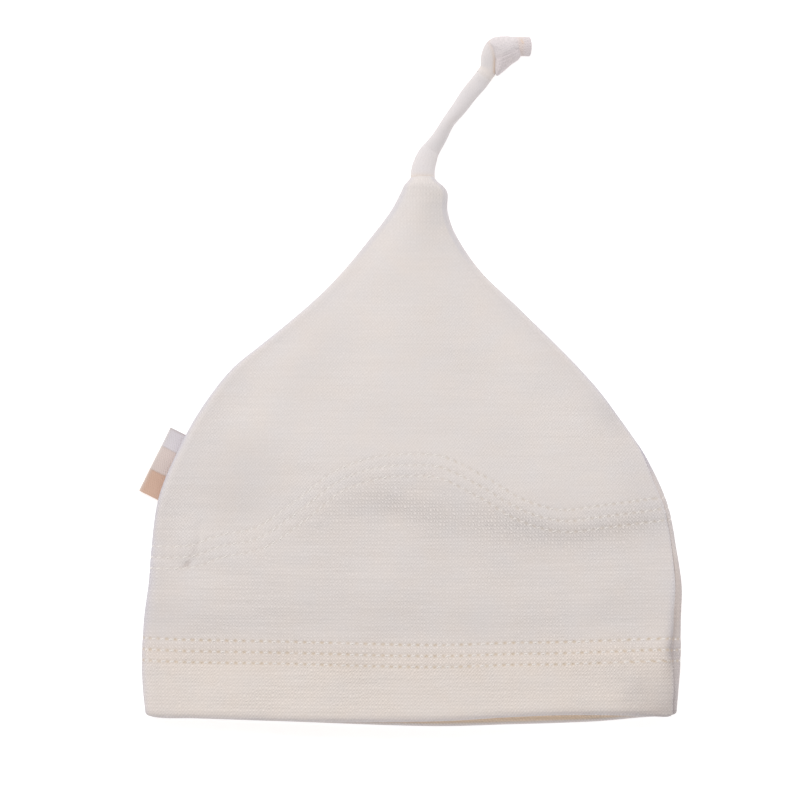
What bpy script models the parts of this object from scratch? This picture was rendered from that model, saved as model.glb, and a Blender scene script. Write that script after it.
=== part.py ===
"""A newborn's pointed knit hat with a knotted tail, laid flat on its back.

The hat lies on the plane z = 0. Heights are measured along +Y from the fold of the front hem, and
the origin is under the middle of the back panel. Each panel is an open surface, lofted through the
sections in SECTIONS and given its thickness by Solidify.
"""

import math
from collections import namedtuple

import bmesh
import bpy
from mathutils import Matrix, Vector

# The body, in metres.
BODY_WIDTH = 0.1563  # across the widest place, laid flat
BODY_HEIGHT = 0.1547  # from the hem's fold to the end of the neck
ORIGIN_HEIGHT = 0.075  # from the hem's fold to the origin
WALL = 0.0012  # one layer of interlock
HEM_LAYERS = 2
HEM_DEPTH = 0.022  # how far up the hem is turned
HEM_FADE = 0.014  # over which the body's swelling for the hem fades
HOLLOW = 0.0110  # between the layers, where the body is fullest
EDGE_SPACE = 0.0028  # between the layers, inside the rolled side edges
ROLL_SPACE = 0.0016  # how far the hollow reaches into a side edge
HEM_BOW = 0.0030  # how far the back hem shows below the front one
SEAM_RISE = 0.0007  # how proud the wave seam stands
SEAM_REACH = 0.0046  # how far to each side of it the cloth rises
BAND_FALL = 0.0006  # how deep the band dips below the wave seam
BAND_FALL_PLACE = 0.0102  # from the wave seam down to the middle of the dip
LABEL_HEIGHT = 0.0722  # from the hem's fold to the middle of the label
GAP = 0.0003  # kept between neighbouring pieces

# The tail, its knot and the label, in metres.
NECK_SHIFT = 0.0031  # from the body's middle line to the neck's
TAIL_BASE = 0.0070  # the tail's width where it leaves the neck
TABLE_GAP = 0.0001  # under the tail, where it lies down
KNOT_SIZE = 0.0110  # across the knot, without its cut end
LABEL_LENGTH = 0.0205  # along the side seam
LABEL_REACH = 0.0055  # out of the side seam
LABEL_THICKNESS = 0.0010  # its two layers

# A section of the body. The height is a share of BODY_HEIGHT. The left and right edges are shares
# of the way out from the neck to the widest place, and the hollow is a share of HOLLOW. Rolled is
# how far the section has turned into the neck's round one, which fits the tail.
Section = namedtuple("Section", "height left right hollow rolled")
SECTIONS = (
    Section(0.000, 0.985, 0.977, 0.62, 0.00),
    Section(0.049, 0.996, 0.988, 0.66, 0.00),
    Section(0.114, 1.000, 0.996, 0.74, 0.00),
    Section(0.175, 0.992, 0.991, 0.84, 0.00),
    Section(0.240, 0.976, 0.999, 0.93, 0.00),
    Section(0.315, 0.963, 0.977, 1.00, 0.00),
    Section(0.405, 0.939, 0.935, 1.00, 0.00),
    Section(0.495, 0.867, 0.837, 0.99, 0.00),
    Section(0.585, 0.762, 0.698, 0.97, 0.00),
    Section(0.652, 0.656, 0.574, 0.94, 0.02),
    Section(0.697, 0.546, 0.475, 0.91, 0.04),
    Section(0.765, 0.376, 0.323, 0.86, 0.12),
    Section(0.832, 0.239, 0.169, 0.80, 0.25),
    Section(0.900, 0.125, 0.065, 0.75, 0.50),
    Section(0.945, 0.056, 0.028, 0.70, 0.80),
    Section(0.981, 0.018, 0.027, 0.69, 0.95),
    Section(1.000, 0.000, 0.000, 0.69, 1.00),
)

# The wave seam across the front, from the left edge to the right one: the height is a share of
# BODY_HEIGHT. On the back the seam runs straight between the two ends.
Wave = namedtuple("Wave", "across height")
WAVE = (
    Wave(0.000, 0.298),
    Wave(0.076, 0.300),
    Wave(0.132, 0.319),
    Wave(0.207, 0.336),
    Wave(0.282, 0.386),
    Wave(0.356, 0.442),
    Wave(0.437, 0.467),
    Wave(0.500, 0.471),
    Wave(0.562, 0.467),
    Wave(0.639, 0.431),
    Wave(0.710, 0.388),
    Wave(0.785, 0.367),
    Wave(0.863, 0.374),
    Wave(1.000, 0.390),
)

# The two hems' folds, from the left edge to the right one: each rise is a share of HEM_BOW.
Hem = namedtuple("Hem", "across front back")
HEM = (
    Hem(0.00, -0.10, 0.00),
    Hem(0.09, -0.10, -0.20),
    Hem(0.28, -0.33, -0.57),
    Hem(0.54, -0.43, -1.00),
    Hem(0.69, 0.10, -0.80),
    Hem(0.77, 0.23, -0.63),
    Hem(0.86, 0.13, -0.25),
    Hem(0.94, 0.05, 0.00),
    Hem(1.00, 0.30, 0.30),
)

# Where the right side seam lies on the rolled edge: 0 is on top of it and 0.5 at its outermost
# line. The height is a share of BODY_HEIGHT.
SideSeam = namedtuple("SideSeam", "height turn")
RIGHT_SEAM = (
    SideSeam(0.00, 0.18),
    SideSeam(0.05, 0.17),
    SideSeam(0.09, 0.10),
    SideSeam(0.12, 0.03),
    SideSeam(0.35, 0.03),
    SideSeam(0.41, 0.15),
    SideSeam(0.46, 0.31),
    SideSeam(0.53, 0.50),
    SideSeam(1.00, 0.50),
)
ROUND_SHARE = 0.85  # how much of the neck's section its round edges take up
LEFT_SEAM_TURN = 0.22  # the same measure from below: the left seam is hidden under the edge
SEAM_TURN = 0.02  # a narrow column beside each side seam, which squares the cut edge
SHOULDER_TURN = 1.86  # where the front's columns start to crowd towards the right seam

# Soft dents and swellings of the front. Across is a share of the width, the height and the two
# reaches are shares of BODY_HEIGHT, and the rise is a share of HOLLOW.
Dent = namedtuple("Dent", "across height wide tall rise")
DENTS = (
    Dent(0.08, 0.280, 0.045, 0.035, -0.08),
    Dent(0.10, 0.345, 0.060, 0.040, 0.05),
    Dent(0.30, 0.230, 0.160, 0.060, 0.04),
    Dent(0.62, 0.300, 0.180, 0.070, -0.05),
    Dent(0.77, 0.000, 0.160, 0.050, 0.10),
)

# The tail's route from the end of the neck, in metres: its width is a share of TAIL_BASE, and it
# sinks from the neck, at 0, to the surface, at 1.
TailPoint = namedtuple("TailPoint", "x y width sink")
TAIL_ROUTE = (
    TailPoint(0.0000, -0.0034, 1.00, 0.00),
    TailPoint(0.0000, -0.0010, 1.00, 0.00),
    TailPoint(0.0000, 0.0013, 1.00, 0.10),
    TailPoint(0.0003, 0.0042, 0.97, 0.45),
    TailPoint(0.0013, 0.0077, 0.85, 0.90),
    TailPoint(0.0025, 0.0100, 0.74, 1.00),
    TailPoint(0.0047, 0.0129, 0.66, 1.00),
    TailPoint(0.0068, 0.0164, 0.55, 1.00),
    TailPoint(0.0078, 0.0181, 0.51, 1.00),
    TailPoint(0.0105, 0.0216, 0.60, 1.00),
    TailPoint(0.0132, 0.0251, 0.66, 1.00),
    TailPoint(0.0161, 0.0286, 0.70, 1.00),
    TailPoint(0.0180, 0.0310, 0.70, 1.00),
)
TAIL_STEPS = 2  # points read from the smooth curve for each stretch of the route

# The strand inside the knot, from the tail's end to the cut end. All are shares of KNOT_SIZE: the
# place is measured from the tail's end, and up is the height of the strand's middle.
Strand = namedtuple("Strand", "x y up width")
KNOT_STRAND = (
    Strand(0.12, 0.34, 0.30, 0.47),
    Strand(0.15, 0.53, 0.34, 0.50),
    Strand(0.24, 0.69, 0.36, 0.52),
    Strand(0.43, 0.76, 0.36, 0.50),
    Strand(0.72, 0.77, 0.34, 0.46),
    Strand(1.22, 0.77, 0.33, 0.50),
)
KNOT_LEAD = 0.14  # how far it runs on straight from the tail, in the same shares
WRAP_MIDDLE = (0.56, 0.53, 0.41)  # the loop wound round the strand
WRAP_HALVES = (0.53, 0.35, 0.41)  # half its length, width and height
WRAP_ANGLE = math.radians(70)

# The counts of faces.
TOP_STEPS = 16
ROLL_STEPS = 6
UNDER_STEPS = 7
CROWN_ROWS = 17
BAND_ROWS = 8
HEM_ROWS = (0.0, 0.04, 0.3, 0.65, 0.96, 1.04)  # shares of HEM_DEPTH

# The colours, seen in soft daylight.
CLOTH = (0.72, 0.65, 0.59)
TAIL_CLOTH = (0.76, 0.71, 0.68)
WOVEN = (0.66, 0.48, 0.38)


def mix(low, high, share):
    return low + (high - low) * share


def ease(share):
    """0 to 1 with level ends."""
    share = min(max(share, 0.0), 1.0)
    return share * share * (3 - 2 * share)


def slope_at(rows, column, index):
    """The slope of a table's column at one row, from the rows on either side."""
    before = rows[max(index - 1, 0)]
    after = rows[min(index + 1, len(rows) - 1)]
    return (getattr(after, column) - getattr(before, column)) / (after[0] - before[0])


def read(rows, column, place):
    """A table's column at a place along its first column, on a smooth curve through the rows."""
    place = min(max(place, rows[0][0]), rows[-1][0])
    index = max(i for i, row in enumerate(rows[:-1]) if row[0] <= place)
    low, high = rows[index], rows[index + 1]
    span = high[0] - low[0]
    t = (place - low[0]) / span
    rise = getattr(high, column) - getattr(low, column)
    start = slope_at(rows, column, index) * span
    end = slope_at(rows, column, index + 1) * span
    bend = t * (1 - t)
    return getattr(low, column) + rise * ease(t) + bend * (start * (1 - t) - end * t)


def place_of(x, height, z):
    """A point of the body in world space."""
    return Vector((x, height - ORIGIN_HEIGHT, z))


def wall_at(height):
    """The thickness that shapes the section: it swells softly over the hem."""
    return WALL * mix(HEM_LAYERS, 1, ease(0.5 + (height - HEM_DEPTH) / HEM_FADE))


def neck_bore():
    return TAIL_BASE + 2 * GAP


def sides(height):
    """The left and right ends of the section at a height."""
    share = height / BODY_HEIGHT
    neck_half = neck_bore() / 2 + WALL
    left = mix(NECK_SHIFT - neck_half, -BODY_WIDTH / 2, read(SECTIONS, "left", share))
    right = mix(NECK_SHIFT + neck_half, BODY_WIDTH / 2, read(SECTIONS, "right", share))
    return left, right


def rolled(height):
    return read(SECTIONS, "rolled", height / BODY_HEIGHT)


def roll_reach(height):
    """How far in from the outline the rolled edge's top is."""
    left, right = sides(height)
    round_edge = ROUND_SHARE * (right - left) / 2
    return mix(wall_at(height) + ROLL_SPACE, round_edge, rolled(height))


def edge_height(height):
    return 2 * wall_at(height) + mix(EDGE_SPACE, neck_bore(), rolled(height))


def top_height(height):
    hollow = HOLLOW * read(SECTIONS, "hollow", height / BODY_HEIGHT)
    return 2 * wall_at(height) + mix(hollow, neck_bore(), rolled(height))


def plump(share):
    """The top layer's rise across the body: 0 at the rolled edges and 1 in the middle."""
    inward = 1 - abs(2 * share - 1)
    return 3 * inward**1.4 - 2 * inward**2.1


def wave_height(across):
    return BODY_HEIGHT * read(WAVE, "height", across)


def relief(across, height):
    """What the wave seam, the dents and the swellings add to the front's height."""
    above = height - wave_height(across)
    rise = SEAM_RISE * math.exp(-((above / SEAM_REACH) ** 2))
    rise -= BAND_FALL * math.exp(-(((above + BAND_FALL_PLACE) / SEAM_REACH) ** 2))
    for dent in DENTS:
        wide = (across - dent.across) / dent.wide
        tall = (height / BODY_HEIGHT - dent.height) / dent.tall
        rise += HOLLOW * dent.rise * math.exp(-(wide**2) - tall**2)
    return rise


def section_point(height, turn):
    """A point on the outside of the body, and how far across it is.

    The turn runs from 0, where the underside ends at the left, round the left edge to 1, over the
    front to 2, round the right edge to 3 and along the underside back to 4.
    """
    left, right = sides(height)
    reach = roll_reach(height)
    edge = edge_height(height)
    stretch = min(int(turn), 3)
    share = turn - stretch
    z = 0.0
    if stretch == 0:
        x = left + reach * (1 - math.sin(math.pi * share))
        z = edge / 2 * (1 - math.cos(math.pi * share))
    elif stretch == 1:
        x = mix(left + reach, right - reach, share)
        z = mix(edge, top_height(height), plump(share))
    elif stretch == 2:
        x = right - reach * (1 - math.sin(math.pi * share))
        z = edge / 2 * (1 + math.cos(math.pi * share))
    else:
        x = mix(right - reach, left + reach, share)
    across = (x - left) / (right - left)
    if stretch == 1:
        fade = math.sin(math.pi * share) ** 0.5 * (1 - rolled(height))
        z += relief(across, height) * fade
    return place_of(x, height, z), across


def seam_height(turn, front):
    """The height of the wave seam at a turn of the section."""
    height = BODY_HEIGHT * mix(WAVE[0].height, WAVE[-1].height, 0.5)
    for _ in range(3):
        across = section_point(height, turn)[1]
        straight = BODY_HEIGHT * mix(WAVE[0].height, WAVE[-1].height, across)
        height = wave_height(across) if front else straight
    return height


def hem_height(turn, front):
    across = section_point(0.0, turn)[1]
    return HEM_BOW * read(HEM, "front" if front else "back", across)


def seam_gap_turn(height):
    """The gap beside a side seam, as a turn round the inside of the rolled edge."""
    inner = min(roll_reach(height), edge_height(height) / 2) - wall_at(height)
    return GAP / (math.pi * inner)


def spread(low, high, steps):
    return [mix(low, high, i / steps) for i in range(steps)]


def front_turns(height):
    """The front panel's columns, from the left side seam to the right one."""
    seam = 2 + read(RIGHT_SEAM, "turn", height / BODY_HEIGHT)
    left = [LEFT_SEAM_TURN] + spread(LEFT_SEAM_TURN + SEAM_TURN, 1, ROLL_STEPS)
    right = spread(SHOULDER_TURN, seam - SEAM_TURN, ROLL_STEPS) + [seam - SEAM_TURN, seam]
    return left + spread(1, SHOULDER_TURN, TOP_STEPS) + right


def back_turns(height):
    """The back panel's columns, from the right side seam to the left one."""
    gap = seam_gap_turn(height)
    start = 2 + read(RIGHT_SEAM, "turn", height / BODY_HEIGHT) + gap
    end = LEFT_SEAM_TURN - gap
    right = [start] + spread(start + SEAM_TURN, 3, ROLL_STEPS)
    left = spread(0, end - SEAM_TURN, 2) + [end - SEAM_TURN, end]
    return right + spread(3, 4, UNDER_STEPS) + left


def crown_heights(low):
    """Rows from the wave seam to the neck, closest together at both ends."""
    high = BODY_HEIGHT
    shares = [i / CROWN_ROWS for i in range(CROWN_ROWS + 1)]
    return [mix(low, high, mix(s, (1 - math.cos(math.pi * s)) / 2, 0.7)) for s in shares]


def band_heights(low, high):
    """Rows from the hem's fold to the wave seam."""
    hem = [low + share * HEM_DEPTH for share in HEM_ROWS]
    shares = [i / BAND_ROWS for i in range(1, BAND_ROWS + 1)]
    return hem + [mix(hem[-1], high, math.sin(math.pi / 2 * s)) for s in shares]


def seam_edge_gap(turn, front):
    """Half the gap at the wave seam, measured up the body: it widens where the seam slopes."""
    step = 0.01
    before, after = (section_point(seam_height(turn + way, front), turn + way)[0]
                     for way in (-step, step))
    run = abs(after.x - before.x)
    rise = abs(after.y - before.y)
    return GAP / 2 * math.hypot(run, rise) / max(run, rise / 2)


def panel_rows(front, crown):
    """The panel's points, row by row, from its lower edge to its upper one."""
    turns_at = front_turns if front else back_turns
    columns = []
    for index, turn in enumerate(turns_at(BODY_HEIGHT / 2)):
        steady = turn
        for _ in range(2):
            seam = seam_height(steady, front)
            steady = turns_at(seam)[index]
        half_gap = seam_edge_gap(steady, front)
        if crown:
            heights = crown_heights(seam + half_gap)
        else:
            heights = band_heights(hem_height(steady, front), seam - half_gap)
        columns.append([section_point(h, turns_at(h)[index])[0] for h in heights])
    return list(zip(*columns))


def new_object(name, mesh_or_curve, colour, roughness):
    material = bpy.data.materials.new(name)
    material.use_nodes = True
    shader = material.node_tree.nodes["Principled BSDF"]
    shader.inputs["Base Color"].default_value = (*colour, 1.0)
    shader.inputs["Roughness"].default_value = roughness
    shader.inputs["Metallic"].default_value = 0.0
    mesh_or_curve.materials.append(material)
    made = bpy.data.objects.new(name, mesh_or_curve)
    hat.objects.link(made)
    return made


def lofted(name, rows):
    """An open mesh through rows of points, as many in each, with its faces pointing out."""
    mesh = bpy.data.meshes.new(name)
    form = bmesh.new()
    grid = [[form.verts.new(point) for point in row] for row in rows]
    for low, high in zip(grid, grid[1:]):
        for i in range(len(low) - 1):
            form.faces.new((low[i], low[i + 1], high[i + 1], high[i]))
    for face in form.faces:
        face.smooth = True
    form.normal_update()
    form.to_mesh(mesh)
    form.free()
    return mesh


def build_panel(name, front, crown):
    """A panel of the body, with its turned-up hem if it has one."""
    rows = panel_rows(front, crown)
    panel = new_object(name, lofted(name, rows), CLOTH, 0.95)
    solidify = panel.modifiers.new("wall", "SOLIDIFY")
    solidify.thickness = HEM_LAYERS * WALL
    solidify.offset = -1
    layers = panel.vertex_groups.new(name="layers")
    width = len(rows[0])
    for index in range(len(rows)):
        doubled = not crown and index < len(HEM_ROWS) - 1
        row = range(index * width, (index + 1) * width)
        layers.add(list(row), 1.0 if doubled else 1 / HEM_LAYERS, "REPLACE")
    solidify.vertex_group = layers.name
    return panel


def smooth_points(points, steps):
    """Points on a smooth curve through some points, so many for each stretch."""
    ends = [2 * points[0] - points[1]] + points + [2 * points[-1] - points[-2]]
    found = []
    for a, b, c, d in zip(ends, ends[1:], ends[2:], ends[3:]):
        for i in range(steps):
            t = i / steps
            found.append(0.5 * (2 * b + (c - a) * t + (2 * a - 5 * b + 4 * c - d) * t**2
                                + (3 * b - a - 3 * c + d) * t**3))
    return found + [points[-1]]


def tube(name, points, width, colour):
    """A round tube through points that each hold x, y, z and a share of the width."""
    curve = bpy.data.curves.new(name, "CURVE")
    curve.dimensions = "3D"
    curve.bevel_depth = width / 2
    curve.bevel_resolution = 3
    curve.use_fill_caps = True
    curve.twist_mode = "MINIMUM"
    spline = curve.splines.new("POLY")
    spline.points.add(len(points) - 1)
    for target, point in zip(spline.points, points):
        target.co = (point[0], point[1], point[2], 1.0)
        target.radius = point[3]
    spline.use_smooth = True
    return new_object(name, curve, colour, 0.95)


def tail_points():
    neck_middle = WALL + neck_bore() / 2
    points = []
    for step in TAIL_ROUTE:
        lying = TAIL_BASE * step.width / 2 + TABLE_GAP
        spot = place_of(NECK_SHIFT + step.x, BODY_HEIGHT + step.y, 0.0)
        z = mix(neck_middle, lying, step.sink)
        points.append(Vector((spot.x, spot.y, z, step.width)))
    return smooth_points(points, TAIL_STEPS)


def build_tail():
    return tube("tail", tail_points(), TAIL_BASE, TAIL_CLOTH)


def as_mesh(obj):
    """A curve object made a closed mesh object of the same name."""
    bpy.context.view_layer.update()
    evaluated = obj.evaluated_get(bpy.context.evaluated_depsgraph_get())
    mesh = bpy.data.meshes.new_from_object(evaluated)
    form = bmesh.new()
    form.from_mesh(mesh)
    bmesh.ops.remove_doubles(form, verts=form.verts, dist=1e-6)
    form.to_mesh(mesh)
    form.free()
    name = obj.name
    matrix = obj.matrix_world.copy()
    bpy.data.objects.remove(obj)
    made = bpy.data.objects.new(name, mesh)
    made.matrix_world = matrix
    hat.objects.link(made)
    return made


def knot_wrap(start):
    """The loop wound round the strand, a soft egg lying aslant on the surface."""
    mesh = bpy.data.meshes.new("knot_wrap")
    form = bmesh.new()
    bmesh.ops.create_uvsphere(form, u_segments=16, v_segments=12, radius=1.0)
    size = Matrix.Diagonal([KNOT_SIZE * half for half in WRAP_HALVES] + [1.0])
    x, y, z = (KNOT_SIZE * share for share in WRAP_MIDDLE)
    middle = Matrix.Translation((start.x + x, start.y + y, z))
    form.transform(middle @ Matrix.Rotation(WRAP_ANGLE, 4, "Z") @ size)
    for face in form.faces:
        face.smooth = True
    form.to_mesh(mesh)
    form.free()
    wrap = bpy.data.objects.new("knot_wrap", mesh)
    cutters.objects.link(wrap)
    wrap.hide_render = True
    wrap.display_type = "WIRE"
    return wrap


def build_knot():
    """The strand from the tail's end to its cut end, and the loop round it, in one solid."""
    last, end = tail_points()[-2:]
    along = (end.xyz - last.xyz).normalized()
    start = end.xyz + along * GAP
    width = TAIL_BASE * end.w / KNOT_SIZE
    lead = start + along * KNOT_LEAD * KNOT_SIZE
    points = [Vector((*start, width)), Vector((*lead, width))]
    for step in KNOT_STRAND:
        x, y, up = (KNOT_SIZE * share for share in (step.x, step.y, step.up))
        points.append(Vector((start.x + x, start.y + y, up, step.width)))
    knot = as_mesh(tube("tail_knot", smooth_points(points, TAIL_STEPS), KNOT_SIZE, TAIL_CLOTH))
    union = knot.modifiers.new("wrap", "BOOLEAN")
    union.operation = "UNION"
    union.solver = "EXACT"
    union.object = knot_wrap(start)
    return knot


def build_label():
    """The folded tab, lying on the surface with its sewn side against the left seam."""
    step = 0.25 * LABEL_LENGTH
    below, above = (sides(LABEL_HEIGHT + way * step)[0] for way in (-1, 1))
    lean = math.atan2(above - below, 2 * step)
    reach, edge = roll_reach(LABEL_HEIGHT), edge_height(LABEL_HEIGHT)
    level = 1 - (LABEL_THICKNESS + GAP) / (edge / 2)
    tucked = reach * (1 - math.sqrt(1 - level**2))
    bulge = sides(LABEL_HEIGHT)[0] - (below + above) / 2
    width = LABEL_REACH + tucked
    mesh = bpy.data.meshes.new("label")
    form = bmesh.new()
    bmesh.ops.create_cube(form, size=1.0)
    form.transform(Matrix.Diagonal((width, LABEL_LENGTH, LABEL_THICKNESS, 1.0)))
    form.transform(Matrix.Translation((-width / 2 + tucked - GAP, 0, LABEL_THICKNESS / 2)))
    form.to_mesh(mesh)
    form.free()
    label = new_object("label", mesh, WOVEN, 0.8)
    label.location = place_of((below + above) / 2 + min(bulge, 0), LABEL_HEIGHT, 0)
    label.rotation_euler.z = -lean
    fold = label.modifiers.new("fold", "BEVEL")
    fold.width = 0.3 * LABEL_THICKNESS
    fold.segments = 2
    return label


for leftover in list(bpy.data.objects):
    bpy.data.objects.remove(leftover, do_unlink=True)
hat = bpy.data.collections.new("newborn_hat")
bpy.context.scene.collection.children.link(hat)
cutters = bpy.data.collections.new("cutters")
bpy.context.scene.collection.children.link(cutters)

build_panel("crown_front", front=True, crown=True)
build_panel("crown_back", front=False, crown=True)
build_panel("band_front", front=True, crown=False)
build_panel("band_back", front=False, crown=False)
build_tail()
build_knot()
build_label()
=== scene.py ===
"""A newborn's pointed knit hat with a knotted tail, laid flat on its back on a pale floor.

The body repeats the part's sections, so each panel lies where its solid does, and adds what the
cloth shows: folded hems, seams, stitches and knit. Heights run along +Y from the fold of the front
hem, and all lengths are in metres.
"""

import math
from collections import namedtuple

import bpy
import numpy as np
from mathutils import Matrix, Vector


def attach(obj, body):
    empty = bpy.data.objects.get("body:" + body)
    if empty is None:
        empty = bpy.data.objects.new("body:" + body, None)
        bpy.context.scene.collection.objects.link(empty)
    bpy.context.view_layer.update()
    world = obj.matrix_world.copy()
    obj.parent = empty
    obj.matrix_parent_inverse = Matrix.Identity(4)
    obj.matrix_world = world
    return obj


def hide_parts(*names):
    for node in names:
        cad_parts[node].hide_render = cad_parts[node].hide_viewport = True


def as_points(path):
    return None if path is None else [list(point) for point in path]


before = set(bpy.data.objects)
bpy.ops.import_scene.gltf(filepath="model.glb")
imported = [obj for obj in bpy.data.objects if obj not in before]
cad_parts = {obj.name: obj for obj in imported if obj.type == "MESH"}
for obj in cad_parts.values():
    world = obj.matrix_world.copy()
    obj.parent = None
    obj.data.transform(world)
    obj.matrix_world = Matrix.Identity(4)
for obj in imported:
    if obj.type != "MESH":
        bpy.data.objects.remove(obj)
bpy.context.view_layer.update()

# The body.
BODY_WIDTH = 0.1563  # across the widest place, laid flat
BODY_HEIGHT = 0.1547  # from the hem's fold to the end of the neck
ORIGIN_HEIGHT = 0.075  # from the hem's fold to the origin
WALL = 0.0012  # one layer of interlock
HEM_LAYERS = 2
HEM_DEPTH = 0.022  # how far up the hem is turned
HEM_FADE = 0.014  # over which the body's swelling for the hem fades
HOLLOW = 0.0110  # between the layers, where the body is fullest
EDGE_SPACE = 0.0028  # between the layers, inside the rolled side edges
ROLL_SPACE = 0.0016  # how far the hollow reaches into a side edge
HEM_BOW = 0.0030  # how far the back hem shows below the front one
GAP = 0.0003  # inside the neck, round the tail
NECK_CLOSE = 0.1536  # the height where the neck starts to close round the tail
NECK_END = 0.1562  # the height where it has closed
ROUND_SHARE = 0.85  # how much of the neck's section its round edges take up

# The seams.
FALL_FADE = 0.020  # over which the cloth below the wave seam rises again
BAND_LIFT = 0.0009  # how far the band's cloth bulges above the hem
WAVE_SPACING = 0.0032  # between the wave seam's three lines of stitches
HEM_SPACING = 0.0031  # between the hem's three lines
STITCH = 0.0025  # from one needle hole to the next
HOLE_REACH = 0.00041  # how far a needle hole's dark reaches from its line
GROOVE = 0.00006  # how deep a line of stitches sinks
GROOVE_REACH = 0.00055
PUFF = 0.00002  # how far the cloth swells between two lines
PUFF_REACH = 0.00085
THREAD = 0.00046  # the thread's width, spread flat
THREAD_FLAT = 0.5  # its height is this share of its width
THREAD_SUNK = 0.00045  # how deep its middle dips at a needle hole
FRONT_RAISED = 0.00001  # and how high it lies over the cloth between two holes
BACK_RAISED = -0.00008
UNEVEN = 0.00002
WAVE_SLANT = 0.00075  # how far each stitch leans across its line
HEM_SLANT = 0.00035
VALLEY = 0.00090  # how deep a side seam lies
VALLEY_REACH = 0.0005
STRIP_DROP = 0.00080  # how far the back falls away beside the right seam
WALE = 0.00093  # the knit's columns
COURSE = 0.00107  # and its rows

# The tail, its knot and the label.
NECK_SHIFT = 0.0031  # from the body's middle line to the neck's
TAIL_BASE = 0.0070  # the tail's width where it leaves the neck
TABLE_GAP = 0.0001  # under the tail, where it lies down
FLAT_WIDE = 0.0055  # the tail's strip, rolled up and pressed flat
FLAT_TALL = 0.0036
LABEL_HEIGHT = 0.0722  # from the hem's fold to the middle of the label
LABEL_LENGTH = 0.0205  # along the side seam
LABEL_REACH = 0.0052  # out of the side seam
LABEL_THICKNESS = 0.0010  # its two layers
LABEL_LINING = 0.00042  # one of them
LABEL_HIDDEN = 0.0022  # inside the seam
LABEL_WAVE = 0.00035
LABEL_TURN = 0.045  # radians, off the line of the seam


def table(columns, *rows):
    """Rows of numbers, with a name for each column."""
    row = namedtuple("Row", columns)
    return [row(*numbers) for numbers in rows]


# Sections of the body. The height is a share of BODY_HEIGHT. The left and right edges are shares
# of the way out from the neck to the widest place, and the hollow is a share of HOLLOW. Rolled is
# how far the section has turned into the neck's round one, which fits the tail.
SECTIONS = table(
    "height left right hollow rolled",
    (0.000, 0.985, 0.977, 0.62, 0.00),
    (0.049, 0.996, 0.988, 0.66, 0.00),
    (0.114, 1.000, 0.996, 0.74, 0.00),
    (0.175, 0.988, 0.991, 0.84, 0.00),
    (0.240, 0.971, 0.995, 0.93, 0.00),
    (0.315, 0.962, 0.978, 1.00, 0.00),
    (0.405, 0.940, 0.937, 1.00, 0.00),
    (0.495, 0.867, 0.842, 0.99, 0.00),
    (0.585, 0.762, 0.704, 0.97, 0.00),
    (0.652, 0.656, 0.580, 0.94, 0.02),
    (0.697, 0.546, 0.481, 0.91, 0.04),
    (0.765, 0.376, 0.328, 0.86, 0.12),
    (0.832, 0.239, 0.173, 0.80, 0.25),
    (0.900, 0.124, 0.070, 0.75, 0.50),
    (0.945, 0.055, 0.034, 0.70, 0.80),
    (0.981, 0.016, 0.033, 0.69, 0.95),
    (1.000, 0.000, 0.000, 0.69, 1.00),
)

# The wave seam across the front, from the left edge to the right one: the height is a share of
# BODY_HEIGHT. On the back the seam runs straight between the two ends. The cloth falls away below
# the seam: by how much, how far below, and over what reach to each side of that.
WAVE = table(
    "across height fall below reach",
    (0.000, 0.298, 0.00000, 0.0020, 0.0040),
    (0.076, 0.300, 0.00010, 0.0020, 0.0040),
    (0.132, 0.319, 0.00010, 0.0030, 0.0040),
    (0.207, 0.336, 0.00010, 0.0030, 0.0040),
    (0.282, 0.386, 0.00015, 0.0030, 0.0040),
    (0.356, 0.442, 0.00060, 0.0064, 0.0045),
    (0.437, 0.467, 0.00125, 0.0102, 0.0042),
    (0.500, 0.471, 0.00115, 0.0126, 0.0042),
    (0.562, 0.467, 0.00115, 0.0134, 0.0046),
    (0.639, 0.431, 0.00095, 0.0090, 0.0056),
    (0.710, 0.388, 0.00115, 0.0042, 0.0042),
    (0.785, 0.367, 0.00135, 0.0036, 0.0034),
    (0.863, 0.374, 0.00115, 0.0034, 0.0034),
    (1.000, 0.390, 0.00060, 0.0025, 0.0036),
)

# The two hems' folds and the middle line of their stitches, from the left edge to the right one.
# The folds' rises are shares of HEM_BOW, and the stitches' height is a share of HEM_DEPTH.
HEM = table(
    "across front back stitches",
    (0.000, 0.05, 0.10, 0.895),
    (0.040, -0.10, -0.05, 0.882),
    (0.090, -0.10, -0.20, 0.870),
    (0.280, -0.33, -0.57, 0.855),
    (0.540, -0.30, -1.00, 0.818),
    (0.690, 0.10, -0.82, 0.845),
    (0.770, 0.26, -0.70, 0.848),
    (0.860, 0.24, -0.50, 0.864),
    (0.940, 0.12, -0.13, 0.882),
    (0.985, 0.02, 0.00, 0.882),
    (1.000, 0.15, 0.15, 0.882),
)

# Where the right side seam lies on the rolled edge: 0 is on top of it and 0.5 at its outermost
# line. The height is a share of BODY_HEIGHT.
RIGHT_SEAM = table(
    "height turn",
    (0.000, 0.310),
    (0.026, 0.280),
    (0.049, 0.270),
    (0.088, 0.190),
    (0.124, 0.074),
    (0.142, 0.096),
    (0.165, 0.120),
    (0.217, 0.120),
    (0.255, 0.185),
    (0.283, 0.228),
    (0.339, 0.310),
    (0.362, 0.280),
    (0.394, 0.260),
    (0.435, 0.230),
    (0.480, 0.330),
    (0.530, 0.500),
    (1.000, 0.500),
)
LEFT_SEAM_TURN = 0.22  # the same measure from below: the left seam is hidden under the edge
SHOULDER_TURN = 1.86  # where the front's columns start to crowd towards the right seam
LEFT_TURN, RIGHT_TURN = 0.5, 2.5  # the outermost lines of the two rolled edges

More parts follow.
